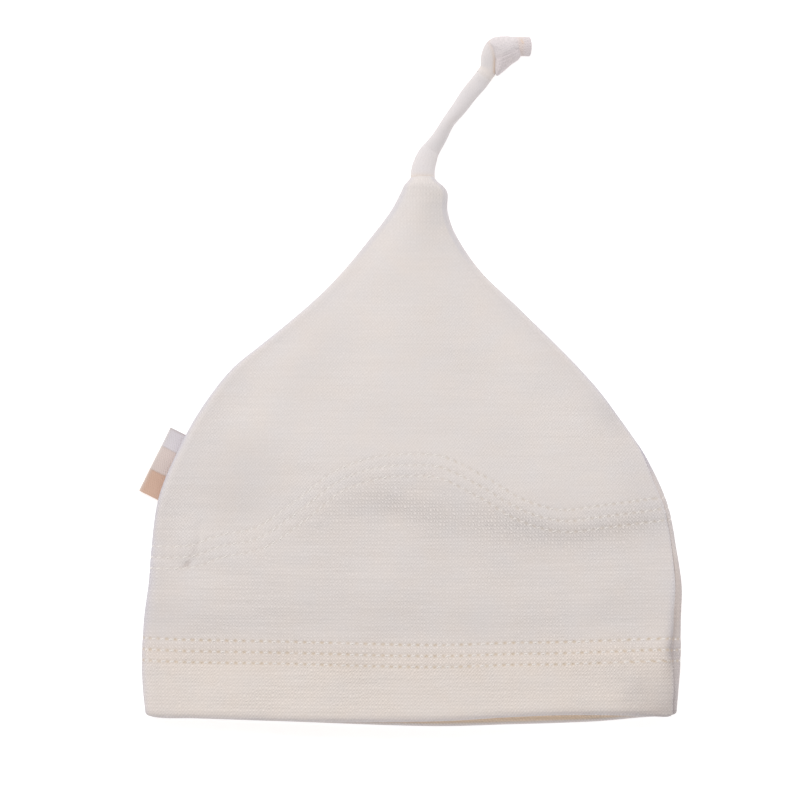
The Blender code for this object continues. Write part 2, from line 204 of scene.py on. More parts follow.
# Soft dents and swellings of the front. Across is a share of the width, the height and the two
# reaches are shares of BODY_HEIGHT, and the rise is a share of HOLLOW.
DENTS = table(
    "across height wide tall rise",
    (0.08, 0.280, 0.045, 0.035, -0.08),
    (0.10, 0.345, 0.060, 0.040, 0.05),
    (0.30, 0.230, 0.160, 0.060, 0.04),
    (0.62, 0.300, 0.180, 0.070, -0.05),
    (0.77, 0.000, 0.160, 0.050, 0.10),
)

# Slow waves in the cloth: how long they are along x and along the height, and where they start.
RIPPLES = table(
    "wide tall start rise",
    (0.047, 0.061, 0.4, 0.00012),
    (-0.031, 0.052, 1.9, 0.00009),
    (0.023, -0.034, 4.1, 0.00006),
    (0.090, 0.019, 2.6, 0.00007),
)

# Creases of the front, from one end to the other, as x and height.
CREASES = table(
    "x1 height1 x2 height2 reach depth",
    (-0.0613, 0.0556, -0.0630, 0.0452, 0.0010, 0.00035),
    (-0.0656, 0.0432, -0.0648, 0.0445, 0.0006, 0.00045),
    (-0.0705, 0.0452, -0.0652, 0.0440, 0.0010, 0.00015),
)

# Painted shade: soft darker patches where the cloth turns away from the light and along its folds:
# x and height of the middle, the reach along and across, the lean of the long side in radians, and
# how dark. The last one, a pucker in the seam, is painted shade in a warmer tint.
*PATCHES, PUCKER = table(
    "x height long wide lean dark",
    (-0.0512, 0.0645, 0.0180, 0.0100, 0.10, 0.28),
    (0.0668, 0.0635, 0.0095, 0.0095, 0.00, 0.18),
    (-0.0613, 0.0273, 0.0230, 0.0070, 0.00, 0.13),
    (-0.0400, 0.0185, 0.0400, 0.0030, 0.00, 0.20),
    (0.0560, 0.0075, 0.0360, 0.0100, 0.00, 0.08),
    (0.0700, 0.0036, 0.0085, 0.0080, 0.00, 0.50),
    (0.0547, 0.0313, 0.0120, 0.0030, 0.80, 0.09),
    (0.0640, 0.0080, 0.0070, 0.0022, 0.95, 0.13),
    (0.0730, 0.0025, 0.0052, 0.0022, 0.75, 0.30),
    (0.0757, 0.0115, 0.0120, 0.0034, 1.57, 0.34),
    (0.0757, 0.0208, 0.0056, 0.0022, 1.57, 0.38),
    (0.0744, 0.0175, 0.0050, 0.0014, 1.57, 0.30),
    (0.0000, 0.0255, 0.0800, 0.0035, 0.00, 0.06),
    (0.0474, 0.0568, 0.0200, 0.0110, 0.00, 0.10),
    (-0.0270, 0.1070, 0.0170, 0.0080, 0.90, 0.17),
    (-0.0515, 0.0760, 0.0140, 0.0070, 0.20, 0.15),
    (0.0576, 0.0887, 0.0070, 0.0040, -0.90, 0.18),
    (-0.0730, 0.0540, 0.0045, 0.0060, 0.00, 0.16),
    (-0.0651, 0.0438, 0.0012, 0.0004, 1.00, 0.25),
    (-0.0625, 0.0490, 0.0035, 0.0006, 1.30, 0.25),
    (-0.0651, 0.0439, 0.0016, 0.0006, 1.00, 0.75),
)

# The tail's route from the end of the neck: its width is a share of TAIL_BASE, and it sinks from
# the neck, at 0, to the surface, at 1.
TAIL_ROUTE = table(
    "x y width sink",
    (0.0000, -0.0034, 1.00, 0.00),
    (0.0000, -0.0010, 1.00, 0.00),
    (0.0000, 0.0013, 1.00, 0.10),
    (0.0003, 0.0042, 0.97, 0.45),
    (0.0015, 0.0077, 0.87, 0.90),
    (0.0029, 0.0100, 0.73, 1.00),
    (0.0049, 0.0129, 0.63, 1.00),
    (0.0069, 0.0164, 0.56, 1.00),
    (0.0080, 0.0181, 0.56, 1.00),
    (0.0108, 0.0216, 0.64, 1.00),
    (0.0133, 0.0251, 0.70, 1.00),
    (0.0162, 0.0286, 0.73, 1.00),
    (0.0180, 0.0310, 0.72, 1.00),
)

# The strand inside the knot, from the tail's end to the cut end, measured from the tail's end: up
# is the height of its middle and width is its whole width.
KNOT_STRAND = table(
    "x y up width",
    (0.0013, 0.0022, 0.0028, 0.0052),
    (0.0017, 0.0053, 0.0036, 0.0056),
    (0.0030, 0.0079, 0.0041, 0.0056),
    (0.0058, 0.0085, 0.0042, 0.0054),
    (0.0090, 0.0083, 0.0041, 0.0054),
    (0.0113, 0.0082, 0.0038, 0.0057),
    (0.0135, 0.0082, 0.0036, 0.0057),
)

# The loop wound round the strand, seen from above and measured from the tail's end: its outline,
# its fold, its band beside the cut end, the line along its left side, and the cut end's crease.
WRAP_OUTLINE = (
    (0.0012, 0.0092), (0.0027, 0.0108), (0.0051, 0.0110), (0.0077, 0.0110), (0.0095, 0.0103),
    (0.0103, 0.0080), (0.0106, 0.0060), (0.0098, 0.0044), (0.0076, 0.0028), (0.0053, 0.0008),
    (0.0036, -0.0003), (0.0030, 0.0010), (0.0029, 0.0046), (0.0021, 0.0072),
)
WRAP_MIDDLE = (0.0061, 0.0062)
WRAP_FOLD = ((0.0034, 0.0046), (0.0050, 0.0051), (0.0072, 0.0062), (0.0090, 0.0071))
WRAP_BAND = ((0.0079, 0.0111), (0.0087, 0.0098), (0.0091, 0.0080), (0.0092, 0.0062))
WRAP_LEFT = ((0.0012, 0.0095), (0.0021, 0.0072), (0.0028, 0.0046), (0.0028, 0.0008))
STUB_CREASE = ((0.0106, 0.0098), (0.0110, 0.0090))
WRAP_HEIGHT = 0.0088  # of its crest
RIB_DEPTH = 0.00007
RIB_SPACING = 0.00085

# The counts of faces, and how close they stand.
COARSE = 0.00066
FINE = 0.00018
BACK_COARSE = 0.0011
TUBE_SIDES = 64
ROPE_STEPS = 12  # rings for each stretch of the tail's route
WRAP_RINGS = 40
WRAP_STEPS = 11  # spokes for each point of the loop's outline
WRAP_SPOKES = WRAP_STEPS * len(WRAP_OUTLINE)
THREAD_SIDES = 6
THREAD_STEPS = 11  # rings for each stitch
FOLD_STEPS = 7
LABEL_STEPS = (61, 19, 13)  # along it, out from the seam and round its fold
CUT_EDGE = 75  # degrees: a panel's edges are shaded apart from its faces

# A panel's rows and columns, before they are stretched to its shape.
ROLL = 0.0068  # the usual length of a rolled edge
CROWN_LENGTH = 0.095  # the usual length of a crown panel's rows
BAND_LENGTH = 0.060
SEAM_ZONE = 0.006  # beside a seam the rows keep their distance from it
HEM_ZONE = 0.026  # and above the fold they keep their height
HEM_SHARE = 0.86  # the usual height of the hem's stitches, as a share of HEM_DEPTH
FOLD = WALL * HEM_LAYERS / 2  # the radius of the hem's fold

# The camera looks straight down from above the middle of the picture. Its lens and sensor are in
# millimetres, and the light's power is in watts.
CAMERA_PLACE = (-0.0034, 0.0166, 1.2)
CAMERA_LENS = 186.0
SENSOR_WIDTH = 36.0
KEY_PLACE = (-1.3, 3.5, 4.5)
KEY_SIZE = 2.7
KEY_POWER = 125.0
SKY_STRENGTH = 0.71
FLOOR_GLOW = 0.42
FLOOR_REACH = 6  # from its middle to each side
CYCLE = 2 * math.pi  # one full wave, in radians

# The colours, and what they are multiplied by in places.
WHITE = (1.0, 1.0, 1.0)
FLOOR = (0.93, 0.93, 0.93)
CLOTH = (0.750, 0.692, 0.664)
TAIL_CLOTH = (0.722, 0.675, 0.674)
DRIFT_TINT = (1.010, 1.000, 0.988)  # the warmer drifts of tone
BAND_TINT = (0.960, 0.955, 0.952)
HEM_TINT = (1.062, 1.042, 1.012)
HEM_GLOW = (1.045, 1.026, 1.002)  # between the hem's lines of stitches
# painted shade: the dark patches, the rolled outline, the line beside the right seam and the hem's
# fold
PAINTED_SHADE_TINT = (0.715, 0.705, 0.712)
# painted warm bounce light on the inner layer, where it shows at the mouth
PAINTED_BOUNCE_TINT = (1.200, 1.085, 0.915)
# painted cool shade at the rolled edges, the hem's folds and the right seam
PAINTED_RIM_SHADE = (0.770, 0.800, 0.924)
# painted warm shade on the back's strip beside the right seam and in the pucker
PAINTED_STRIP_SHADE = (0.855, 0.808, 0.785)
# painted warm shade in the tail's folds, the knot's creases and beside the cut end
PAINTED_CREASE_SHADE = (1.040, 0.930, 0.790)
LIT_TINT = (1.045, 1.055, 1.052)
# the knot's pinker tone; on the loop it also serves as painted shade on the lower face below the
# fold
KNOT_TINT = (0.996, 0.960, 0.970)
WAVE_HOLE = (0.580, 0.485, 0.385)
HEM_HOLE = (0.580, 0.450, 0.310)
THREAD_COLOUR = (0.890, 0.840, 0.810)
THREAD_SHADE = (0.780, 0.720, 0.670)
TAB_TOP = (0.745, 0.700, 0.735)
TAB_MIDDLE = (0.740, 0.625, 0.585)
TAB_LOW = (0.672, 0.450, 0.345)
TAB_EDGE = (0.690, 0.640, 0.610)
TAB_SHADE = (0.350, 0.260, 0.220)
TAB_STEPS = (0.22, -0.14)  # where the label's colours meet, as shares of its length
GRAIN = 0.12  # how far the knit's loops are lighter and darker than the cloth


def mix(low, high, share):
    return low + (high - low) * share


def ease(share):
    """0 to 1 with level ends."""
    share = np.clip(share, 0.0, 1.0)
    return share * share * (3 - 2 * share)


def bell(distance, reach):
    return np.exp(-((distance / reach) ** 2))


def joined(*parts):
    """Vectors from their parts, each an array or a number."""
    return np.stack(np.broadcast_arrays(*parts), axis=-1)


def read(rows, name, place):
    """A table's column at places along its first column, on a smooth curve through the rows."""
    numbers = np.array(rows)
    places, values = numbers[:, 0], numbers[:, rows[0]._fields.index(name)]
    last = len(places) - 1
    before = np.maximum(np.arange(last + 1) - 1, 0)
    after = np.minimum(np.arange(last + 1) + 1, last)
    slopes = (values[after] - values[before]) / (places[after] - places[before])
    place = np.clip(place, places[0], places[-1])
    index = np.clip(np.searchsorted(places, place, side="right") - 1, 0, last - 1)
    span = places[index + 1] - places[index]
    t = (place - places[index]) / span
    bend = t * (1 - t) * span * (slopes[index] * (1 - t) - slopes[index + 1] * t)
    return mix(values[index], values[index + 1], ease(t)) + bend


def spread_places(length, marks, coarse, reach=0.0012):
    """Places from 0 to a length, close together near the marks and coarse elsewhere."""
    steps = np.linspace(0, length, 4000)
    near = sum(bell(steps - mark, reach) for mark in marks)
    crowd = np.cumsum(1 / coarse + (1 / FINE - 1 / coarse) * np.minimum(near, 1)) * steps[1]
    crowd -= crowd[0]
    count = int(round(crowd[-1]))
    return np.interp(np.linspace(0, crowd[-1], count + 1), crowd, steps)


def smooth_points(points, steps):
    """Points on a smooth curve through some points, so many for each stretch."""
    points = np.array(points, float)
    ends = np.concatenate(([2 * points[0] - points[1]], points, [2 * points[-1] - points[-2]]))
    t = np.arange(steps)[:, None] / steps
    found = []
    for a, b, c, d in zip(ends, ends[1:], ends[2:], ends[3:]):
        found.append(0.5 * (2 * b + (c - a) * t + (2 * a - 5 * b + 4 * c - d) * t**2
                            + (3 * b - a - 3 * c + d) * t**3))
    return np.concatenate(found + [points[-1:]])


def lengths_along(points):
    """How far along a line each of its points is."""
    return np.concatenate(((0.0,), np.cumsum(np.linalg.norm(np.diff(points, axis=0), axis=1))))


def from_stretch(x, y, x1, y1, x2, y2):
    """Distance from a straight stretch, and which side of it a point lies on."""
    run, rise = x2 - x1, y2 - y1
    along = np.clip(((x - x1) * run + (y - y1) * rise) / (run**2 + rise**2), 0, 1)
    away = np.hypot(x - x1 - along * run, y - y1 - along * rise)
    return away, np.sign((y - y1) * run - (x - x1) * rise)


def ridge_line(x, y, points):
    """Distance from a broken line, positive above it."""
    best = np.full(x.shape, 1.0)
    side = np.ones(x.shape)
    for start, end in zip(points, points[1:]):
        away, turn = from_stretch(x, y, *start, *end)
        side = np.where(away < best, turn, side)
        best = np.minimum(best, away)
    return best * side


def wall_at(height):
    """The thickness that shapes the section: it swells softly over the hem."""
    return WALL * mix(HEM_LAYERS, 1, ease(0.5 + (height - HEM_DEPTH) / HEM_FADE))


def neck_bore():
    return TAIL_BASE + 2 * GAP


def sides(height):
    """The left and right ends of the section at a height."""
    share = height / BODY_HEIGHT
    neck_half = neck_bore() / 2 + WALL
    left = mix(NECK_SHIFT - neck_half, -BODY_WIDTH / 2, read(SECTIONS, "left", share))
    right = mix(NECK_SHIFT + neck_half, BODY_WIDTH / 2, read(SECTIONS, "right", share))
    return left, right


def rolled(height):
    return read(SECTIONS, "rolled", height / BODY_HEIGHT)


def roll_reach(height):
    """How far in from the outline the columns of the rolled edge end."""
    left, right = sides(height)
    round_edge = ROUND_SHARE * (right - left) / 2
    return mix(wall_at(height) + ROLL_SPACE, round_edge, rolled(height))


def roll_length(height):
    """The length of a rolled edge, measured along the cloth."""
    edge_height = 2 * wall_at(height) + mix(EDGE_SPACE, neck_bore(), rolled(height))
    return math.pi * (roll_reach(height) + edge_height / 2) / 2


def plump(share):
    """The top layer's rise across the body: 0 at the rolled edges and 1 in the middle."""
    inward = 1 - np.abs(2 * share - 1)
    return 3 * inward**1.4 - 2 * inward**2.1


def section_height(height, x, above):
    """How high the section's outside is at x, on its upper side or its lower one."""
    left, right = sides(height)
    wall = wall_at(height)
    reach = wall + ROLL_SPACE
    edge = 2 * wall + EDGE_SPACE
    full = 2 * wall + HOLLOW * read(SECTIONS, "hollow", height / BODY_HEIGHT)
    near = np.clip(np.minimum(x - left, right - x), 0, reach)
    lift = np.sqrt(1 - (1 - near / reach) ** 2)
    core = np.clip((x - left - reach) / (right - left - 2 * reach), 0, 1)
    top = edge / 2 * (1 + lift) + (full - edge) * plump(core)
    bottom = edge / 2 * (1 - lift)
    ring = (2 * wall + neck_bore()) / 2
    from_middle = np.clip(np.abs(2 * x - left - right) / (right - left), 0, 1)
    arch = ring * np.sqrt(1 - from_middle**2)
    flat = np.where(above, top, bottom)
    round_one = np.where(above, ring + arch, ring - arch)
    return mix(flat, round_one, rolled(height))


def closing(height):
    """How much narrower the neck has become at a height: 1 until it closes on the tail."""
    share = np.clip((height - NECK_CLOSE) / (NECK_END - NECK_CLOSE), 0, 1)
    tight = (TAIL_BASE / 2 - GAP) / (neck_bore() / 2 + WALL)
    return mix(1, tight, share**1.3)


def stretch_of(turn):
    """Which quarter of the section a turn is in, and how far through it."""
    stretch = np.floor(turn).astype(int)
    return stretch, turn - stretch


def smooth_section(height, turn):
    """Points on the outside of the body, before seams and dents, and how far across they are.

    The turn runs from 0, where the underside ends at the left, round the left edge to 1, over the
    front to 2, round the right edge to 3, along the underside to 4, and then starts again.
    """
    height, turn = np.broadcast_arrays(height, np.mod(turn, 4))
    stretch, share = stretch_of(turn)
    left, right = sides(height)
    reach = roll_reach(height)
    out = reach * (1 - np.sin(np.pi * share))
    over = mix(left + reach, right - reach, share)
    under = mix(right - reach, left + reach, share)
    x = np.choose(stretch, (left + out, over, right - out, under))
    z = section_height(height, x, (turn > LEFT_TURN) & (turn < RIGHT_TURN))
    across = (x - left) / (right - left)
    narrow = closing(height)
    x = mix(NECK_SHIFT, x, narrow)
    z = mix(WALL + neck_bore() / 2, z, narrow)
    return joined(x, height - ORIGIN_HEIGHT, z), across


def outward(height, turn):
    """Unit normals of the body's outside."""
    nudge = 1e-4
    along = smooth_section(height + nudge, turn)[0] - smooth_section(height - nudge, turn)[0]
    around = smooth_section(height, turn + nudge)[0] - smooth_section(height, turn - nudge)[0]
    normal = np.cross(around, along)
    return normal / np.linalg.norm(normal, axis=-1, keepdims=True)


def girth(height, turn):
    """The distance along the section from the start of its left edge, and all the way round."""
    left, right = sides(height)
    roll = roll_length(height)
    flat = right - left - 2 * roll_reach(height)
    stretch, share = stretch_of(np.mod(turn, 4))
    length = np.choose(stretch, (roll, flat, roll, flat))
    ends = np.choose(stretch, (0 * roll, roll, roll + flat, 2 * roll + flat))
    return ends + share * length, 2 * (roll + flat)


def right_seam_turn(height):
    return 2 + read(RIGHT_SEAM, "turn", height / BODY_HEIGHT)


def from_side_seam(height, turn):
    """How far a point is from the nearest side seam, along the section."""
    place, whole = girth(height, turn)
    near = []
    for seam_turn in (LEFT_SEAM_TURN, right_seam_turn(height)):
        apart = np.abs(place - girth(height, seam_turn)[0])
        near.append(np.minimum(apart, whole - apart))
    return np.minimum(*near)


def strip_fall(height, turn):
    """How far the back falls away below the front's edge, as far out as the outermost line."""
    turn = np.mod(turn, 4)
    on_top = ease((2.42 - right_seam_turn(height)) / 0.25)
    return STRIP_DROP * on_top * ease((RIGHT_TURN - turn) / 0.22) * (turn > 1)


def in_strip(height, turn):
    """1 on the strip of the back that shows beside the front's edge."""
    turn = np.mod(turn, 4)
    seam = right_seam_turn(height)
    return ease((2.48 - seam) / 0.1) * ease((2.8 - turn) / 0.25) * (turn > 1)


def front_wave(across):
    """The height of the wave seam's middle line on the front."""
    return BODY_HEIGHT * read(WAVE, "height", across)


def back_wave(across):
    return BODY_HEIGHT * mix(WAVE[0].height, WAVE[-1].height, across)


def hem_line(across):
    """The height of the middle line of the hem's stitches."""
    return HEM_DEPTH * read(HEM, "stitches", across)


def from_line(line_height, height, across):
    """How far a point is from a line across the body, square to the line and positive above it."""
    left, right = sides(height)
    nudge = 0.002
    rise = line_height(across + nudge) - line_height(across - nudge)
    slope = rise / (2 * nudge * (right - left))
    return (height - line_height(across)) / np.hypot(1, slope)


def stitched(distance, spacing):
    """How three lines of stitches move the cloth: it sinks at each and swells in between."""
    sink = sum(bell(distance - line * spacing, GROOVE_REACH) for line in (-1, 0, 1))
    swell = sum(bell(distance - way * spacing / 2, PUFF_REACH) for way in (-1, 1))
    return PUFF * swell - GROOVE * sink


def creased(x, height):
    sunk = 0 * x
    for crease in CREASES:
        away, _ = from_stretch(x, height, *crease[:4])
        sunk += crease.depth * bell(away, crease.reach)
    return sunk


def seam_fall(seam, across):
    """How far the cloth lies under the level of the wave seam, on the front."""
    below = -seam - read(WAVE, "below", across)
    reach = read(WAVE, "reach", across)
    down = ease(0.5 + below / (2 * reach))
    return read(WAVE, "fall", across) * down * (1 - ease((below - reach) / FALL_FADE))


class Columns:
    """The columns of a panel's mesh, from one side seam to the other."""

    def __init__(self, front):
        self.front = front
        self.wave = front_wave if front else back_wave
        self.coarse = COARSE if front else BACK_COARSE
        flat = BODY_WIDTH - ROLL
        if front:
            self.turns = (LEFT_SEAM_TURN, 1.0, SHOULDER_TURN)
            lengths = (ROLL * (1 - LEFT_SEAM_TURN), flat * (SHOULDER_TURN - 1),
                       flat * (2 - SHOULDER_TURN))
        else:
            self.turns = (3.0, 4.0, 4.0 + LEFT_SEAM_TURN)
            lengths = (ROLL, flat, ROLL * LEFT_SEAM_TURN)
        self.ends = np.cumsum((0.0,) + lengths)
        self.places = spread_places(self.ends[-1], (0.0, self.ends[-1]), self.coarse)

    def at(self, height, places=None):
        """The turns of the columns at heights: the last row axis of height is the columns'."""
        places = self.places if places is None else places
        seam = right_seam_turn(height)
        ends = self.ends
        if self.front:
            fixed = np.interp(places, ends[:3], self.turns)
            share = np.clip((places - ends[2]) / (ends[3] - ends[2]), 0, 1)
            return np.where(places > ends[2], mix(SHOULDER_TURN, seam, share), fixed)
        fixed = np.interp(places, ends[1:], self.turns)
        share = np.clip(places / ends[1], 0, 1)
        return np.where(places < ends[1], mix(seam, 3.0, share), fixed)

    def line(self, line_height, places=None):
        """The heights and turns where a line across the body meets the columns."""
        places = self.places if places is None else places
        height = line_height(np.full(len(places), 0.5))
        for _ in range(8):
            turn = self.at(height, places)
            across = smooth_section(height, turn)[1]
            height = line_height(across)
        return height, self.at(height, places)

    def steepness(self, line_height):
        """1 where the line runs level, and more where it climbs."""
        point = smooth_section(*self.line(line_height))[0]
        run = np.hypot(np.gradient(point[:, 0]), np.gradient(point[:, 2]))
        return np.hypot(1, np.gradient(point[:, 1]) / np.maximum(run, 1e-7))

    def lengths(self, line_height):
        """How far along the line each column is."""
        return lengths_along(smooth_section(*self.line(line_height))[0])

    def crown_rows(self):
        """Heights from the wave seam to the end of the neck, as rows by columns."""
        steps = spread_places(CROWN_LENGTH, (0.0, WAVE_SPACING, CROWN_LENGTH), self.coarse)
        seam = self.line(self.wave)[0]
        whole = (NECK_END - seam) / CROWN_LENGTH
        away = ease((steps - SEAM_ZONE) / (4 * SEAM_ZONE))[:, None]
        return seam + steps[:, None] * mix(self.steepness(self.wave), whole, away)

    def band_rows(self):
        """Heights from the hem's fold to the wave seam, and how far each row is above it."""
        lines = [HEM_DEPTH * HEM_SHARE + way * HEM_SPACING for way in (-1, 0, 1, 1.6)]
        marks = lines + [BAND_LENGTH - WAVE_SPACING, BAND_LENGTH]
        steps = spread_places(BAND_LENGTH - FOLD, np.array(marks) - FOLD, self.coarse) + FOLD
        fold = FOLD * (1 - np.cos(np.linspace(0, math.pi / 2, FOLD_STEPS + 1)))[:-1]
        steps = np.concatenate((fold, steps))[:, None]
        seam = self.line(self.wave)[0]
        low = self.line(self.hem_fold)[0] + steps
        high = seam - (BAND_LENGTH - steps) * self.steepness(self.wave)
        middle = (steps - HEM_ZONE) / (BAND_LENGTH - SEAM_ZONE - HEM_ZONE)
        return mix(low, high, ease(middle)), steps

    def hem_fold(self, across):
        """The height of the hem's fold."""
        return HEM_BOW * read(HEM, "front" if self.front else "back", across)


def relief(height, turn, columns):
    """How far the seams, dents and slow waves move the cloth outward."""
    point, across = smooth_section(height, turn)
    x = point[..., 0]
    stretch, share = stretch_of(np.mod(turn, 4))
    up = np.choose(stretch, (ease(share), 1 + 0 * share, ease(1 - share), 0 * share))
    seam = from_line(columns.wave, height, across)
    rise = -seam_fall(seam, across) if columns.front else 0 * x
    rise += BAND_LIFT * ease((height - 0.015) / 0.014) * (1 - ease((height - 0.030) / 0.030))
    for dent in DENTS:
        wide = (across - dent.across) / dent.wide
        tall = (height / BODY_HEIGHT - dent.height) / dent.tall
        rise += HOLLOW * dent.rise * np.exp(-(wide**2) - tall**2)
    for ripple in RIPPLES:
        phase = CYCLE * (x / ripple.wide + height / ripple.tall) + ripple.start
        rise += ripple.rise * np.sin(phase)
    rise -= creased(x, height)
    rise *= up * (1 - rolled(height))
    rise += stitched(seam, WAVE_SPACING)
    rise += stitched(from_line(hem_line, height, across), HEM_SPACING)
    fall = 0.0 if columns.front else strip_fall(height, turn)
    return rise - mix(fall, VALLEY, bell(from_side_seam(height, turn), VALLEY_REACH))


def surface(height, turn, columns, lift=0.0):
    """Points of the cloth's outside, raised off it by a lift, and its outward direction."""
    point, _ = smooth_section(height, turn)
    normal = outward(height, turn)
    return point + normal * (relief(height, turn, columns) + lift)[..., None], normal


class Cloth:
    """What a panel's material needs to know of its points."""

    def __init__(self, columns, crown, heights, turns):
        self.columns, self.front, self.crown = columns, columns.front, crown
        self.heights, self.turns = heights, turns
        point, self.across = smooth_section(heights, turns)
        self.x = point[..., 0]
        self.seam = from_line(columns.wave, heights, self.across)
        self.hem = from_line(hem_line, heights, self.across)
        self.fold = heights - columns.hem_fold(self.across)
        place = girth(heights, turns)[0]
        self.left = np.abs(place - girth(heights, LEFT_TURN)[0])
        self.right = np.abs(place - girth(heights, RIGHT_TURN)[0])
        self.edge = np.abs(place - girth(heights, right_seam_turn(heights))[0])
        self.strip = in_strip(heights, turns)
        self.place = place

    def on_the_flat(self):
        """Where each point was on the flat cloth: across the wales and along them."""
        left, right = sides(self.heights)
        reach, roll = roll_reach(self.heights), roll_length(self.heights)
        stretch, share = stretch_of(np.mod(self.turns, 4))
        wales = np.choose(stretch, (left + reach - (1 - share) * roll, self.x,
                                    right - reach + share * roll,
                                    2 * right - 2 * reach + roll - self.x))
        return joined(wales, self.heights, 0)

    def grain(self):
        """How strong the knit's grain is."""
        heights, across, seam = self.heights, self.across, self.seam
        from_left = self.place - girth(heights, LEFT_TURN)[0]
        low = 1 - ease((heights - 0.085) / 0.020)
        grain = 0.68 + 0.55 * low * bell(from_left - 0.008, 0.006)
        grain += 0.26 * low * ease((across - 0.5) / 0.4)
        grain += 0.38 * ease((0.42 - across) / 0.15) * bell(seam - 0.009, 0.010)
        grain = mix(grain, 0.45, ease((heights - 0.118) / 0.012))
        grain = mix(grain, 0.80, ease((heights - 0.146) / 0.005))
        below = bell(seam + read(WAVE, "below", across), 0.0055)
        in_hem = 0.25 * ease((0.002 - self.hem) / 0.004)
        band = 1.25 + 0.75 * below * read(WAVE, "fall", across) / 0.0009
        band += in_hem + 0.6 * bell(self.hem, 0.0045)
        band += 1.52 * in_hem * ease((across - 0.72) / 0.10)
        return mix(grain, band, ease((0.006 - seam) / 0.006))

    def rim_shade(self):
        """Painted cool shade: how close the outline, a fold or the right seam is, where the cloth
        turns away from the light.
        """
        heights = self.heights
        away = np.minimum(self.left, self.right)
        neck = ease((heights - 0.126) / 0.010)
        rim_shade = np.maximum(mix(0.9, 0.8, neck) * bell(away, 0.0012),
                         mix(0.20, 0.08, neck) * bell(away, 0.010))
        rim_shade = np.maximum(rim_shade, 0.78 * neck * ease((0.0046 - away) / 0.0010))
        if self.front:
            rim_shade = np.maximum(rim_shade, 0.7 * bell(self.edge - 0.0006, 0.0010))
        else:
            rim_shade = np.maximum(rim_shade, self.strip * ease((0.026 - heights) / 0.008))
        if not self.crown:
            rim_shade = np.maximum(rim_shade, bell(self.fold, 0.0009))
        reach = mix(0.0027, 0.0021, ease((heights - 0.045) / 0.012))
        above_strip = ease((heights - 0.066) / 0.008)
        turned = np.maximum(bell(self.left, reach), bell(self.right, 0.0021) * above_strip)
        return np.maximum(0.5 * rim_shade, 0.9 * turned * mix(1, 0.5, ease((heights - 0.105) / 0.025)))

    def dark(self):
        """Painted shade at each point: in patches, near the outline, beside the right seam and
        along the hem's fold.
        """
        heights = self.heights
        shown = 1.0 if self.front else self.strip
        away = np.minimum(self.left, self.right)
        dark = 0.09 * bell(away, 0.012) * ease((heights - 0.075) / 0.020)
        dark = dark + 0.45 * bell(heights - 0.0250, 0.009) * bell(self.edge - 0.0002, 0.0007)
        line = mix(0.20, 0.45, ease((self.across - 0.7) / 0.15))
        dark = dark + line * bell(self.fold - 0.0010, 0.0006)
        dark = dark + 0.22 * ease((0.0034 - self.fold) / 0.0026)
        return dark + sum(shown * self.in_patch(patch) for patch in PATCHES)

    def in_patch(self, patch):
        """A patch's darkness in its middle, falling away over its two reaches."""
        x, y = self.x - patch.x, self.heights - patch.height
        long = x * math.cos(patch.lean) + y * math.sin(patch.lean)
        wide = y * math.cos(patch.lean) - x * math.sin(patch.lean)
        return patch.dark * np.exp(-((long / patch.long) ** 2) - (wide / patch.wide) ** 2)

    def warmer(self):
        """Painted warm shade, darker and warmer: 1 on the back's strip and in the pucker."""
        if self.front:
            return self.in_patch(PUCKER)
        fading = mix(1.0, 0.35, ease((self.heights - 0.037) / 0.014))
        return self.strip * fading * mix(0.3, 1.0, ease((self.heights - 0.020) / 0.008))

    def stitching(self):
        """How far along the nearest stitches each point is, and how far from them."""
        along = self.columns.lengths(self.columns.wave) + 0 * self.heights
        distance = np.abs(self.seam)
        if not self.crown:
            hem_along = self.columns.lengths(hem_line)
            along = np.where(np.abs(self.hem) < distance, hem_along, along)
            distance = np.minimum(distance, np.abs(self.hem))
        return along, distance

    def parts(self):
        """How far into the band and into the hem each point is."""
        return ease((0.004 - self.seam) / 0.012), ease((0.004 - self.hem) / 0.009)


def quads(a, b, c, d):
    return np.stack((a, b, c, d), axis=-1)


def strip(index):
    """The faces of a grid of points, looking the way that rows turn from columns."""
    faces = quads(index[:-1, :-1], index[:-1, 1:], index[1:, 1:], index[1:, :-1])
    return faces.reshape(-1, 4)


def mesh_object(name, points, faces):
    mesh = bpy.data.meshes.new(name)
    mesh.from_pydata(np.reshape(points, (-1, 3)).tolist(), [], faces)
    mesh.shade_smooth()
    mesh.update()
    made = bpy.data.objects.new(name, mesh)
    bpy.context.scene.collection.objects.link(made)
    return made


def give_places(piece, name, places):
    """Stores a vector at each vertex, which the piece's material reads."""
    stored = piece.data.attributes.new(name, "FLOAT_VECTOR", "POINT")
    stored.data.foreach_set("vector", places.astype(np.float32).ravel())


def shell(name, outer, inner, folded):
    """A closed mesh between two grids of points, whose first rows are one where it is folded."""
    rows, width = outer.shape[:2]
    first = 1 if folded else 0
    index = np.arange(rows * width).reshape(rows, width)
    inside = index + rows * width - first * width
    if folded:
        inside[0] = index[0]
    points = np.concatenate((outer.reshape(-1, 3), inner[first:].reshape(-1, 3)))
    faces = [strip(index), strip(inside)[:, ::-1]]
    faces.append(quads(index[:-1, 0], index[1:, 0], inside[1:, 0], inside[:-1, 0]))
    faces.append(quads(inside[:-1, -1], inside[1:, -1], index[1:, -1], index[:-1, -1]))
    faces.append(quads(index[-1, :-1], index[-1, 1:], inside[-1, 1:], inside[-1, :-1]))
    if not folded:
        faces.append(quads(index[0, :-1], inside[0, :-1], inside[0, 1:], index[0, 1:]))
    faces = [tuple(dict.fromkeys(face)) for face in np.concatenate(faces).tolist()]
    made = mesh_object(name, points, faces)
    made.data.set_sharp_from_angle(angle=math.radians(CUT_EDGE))
    return made


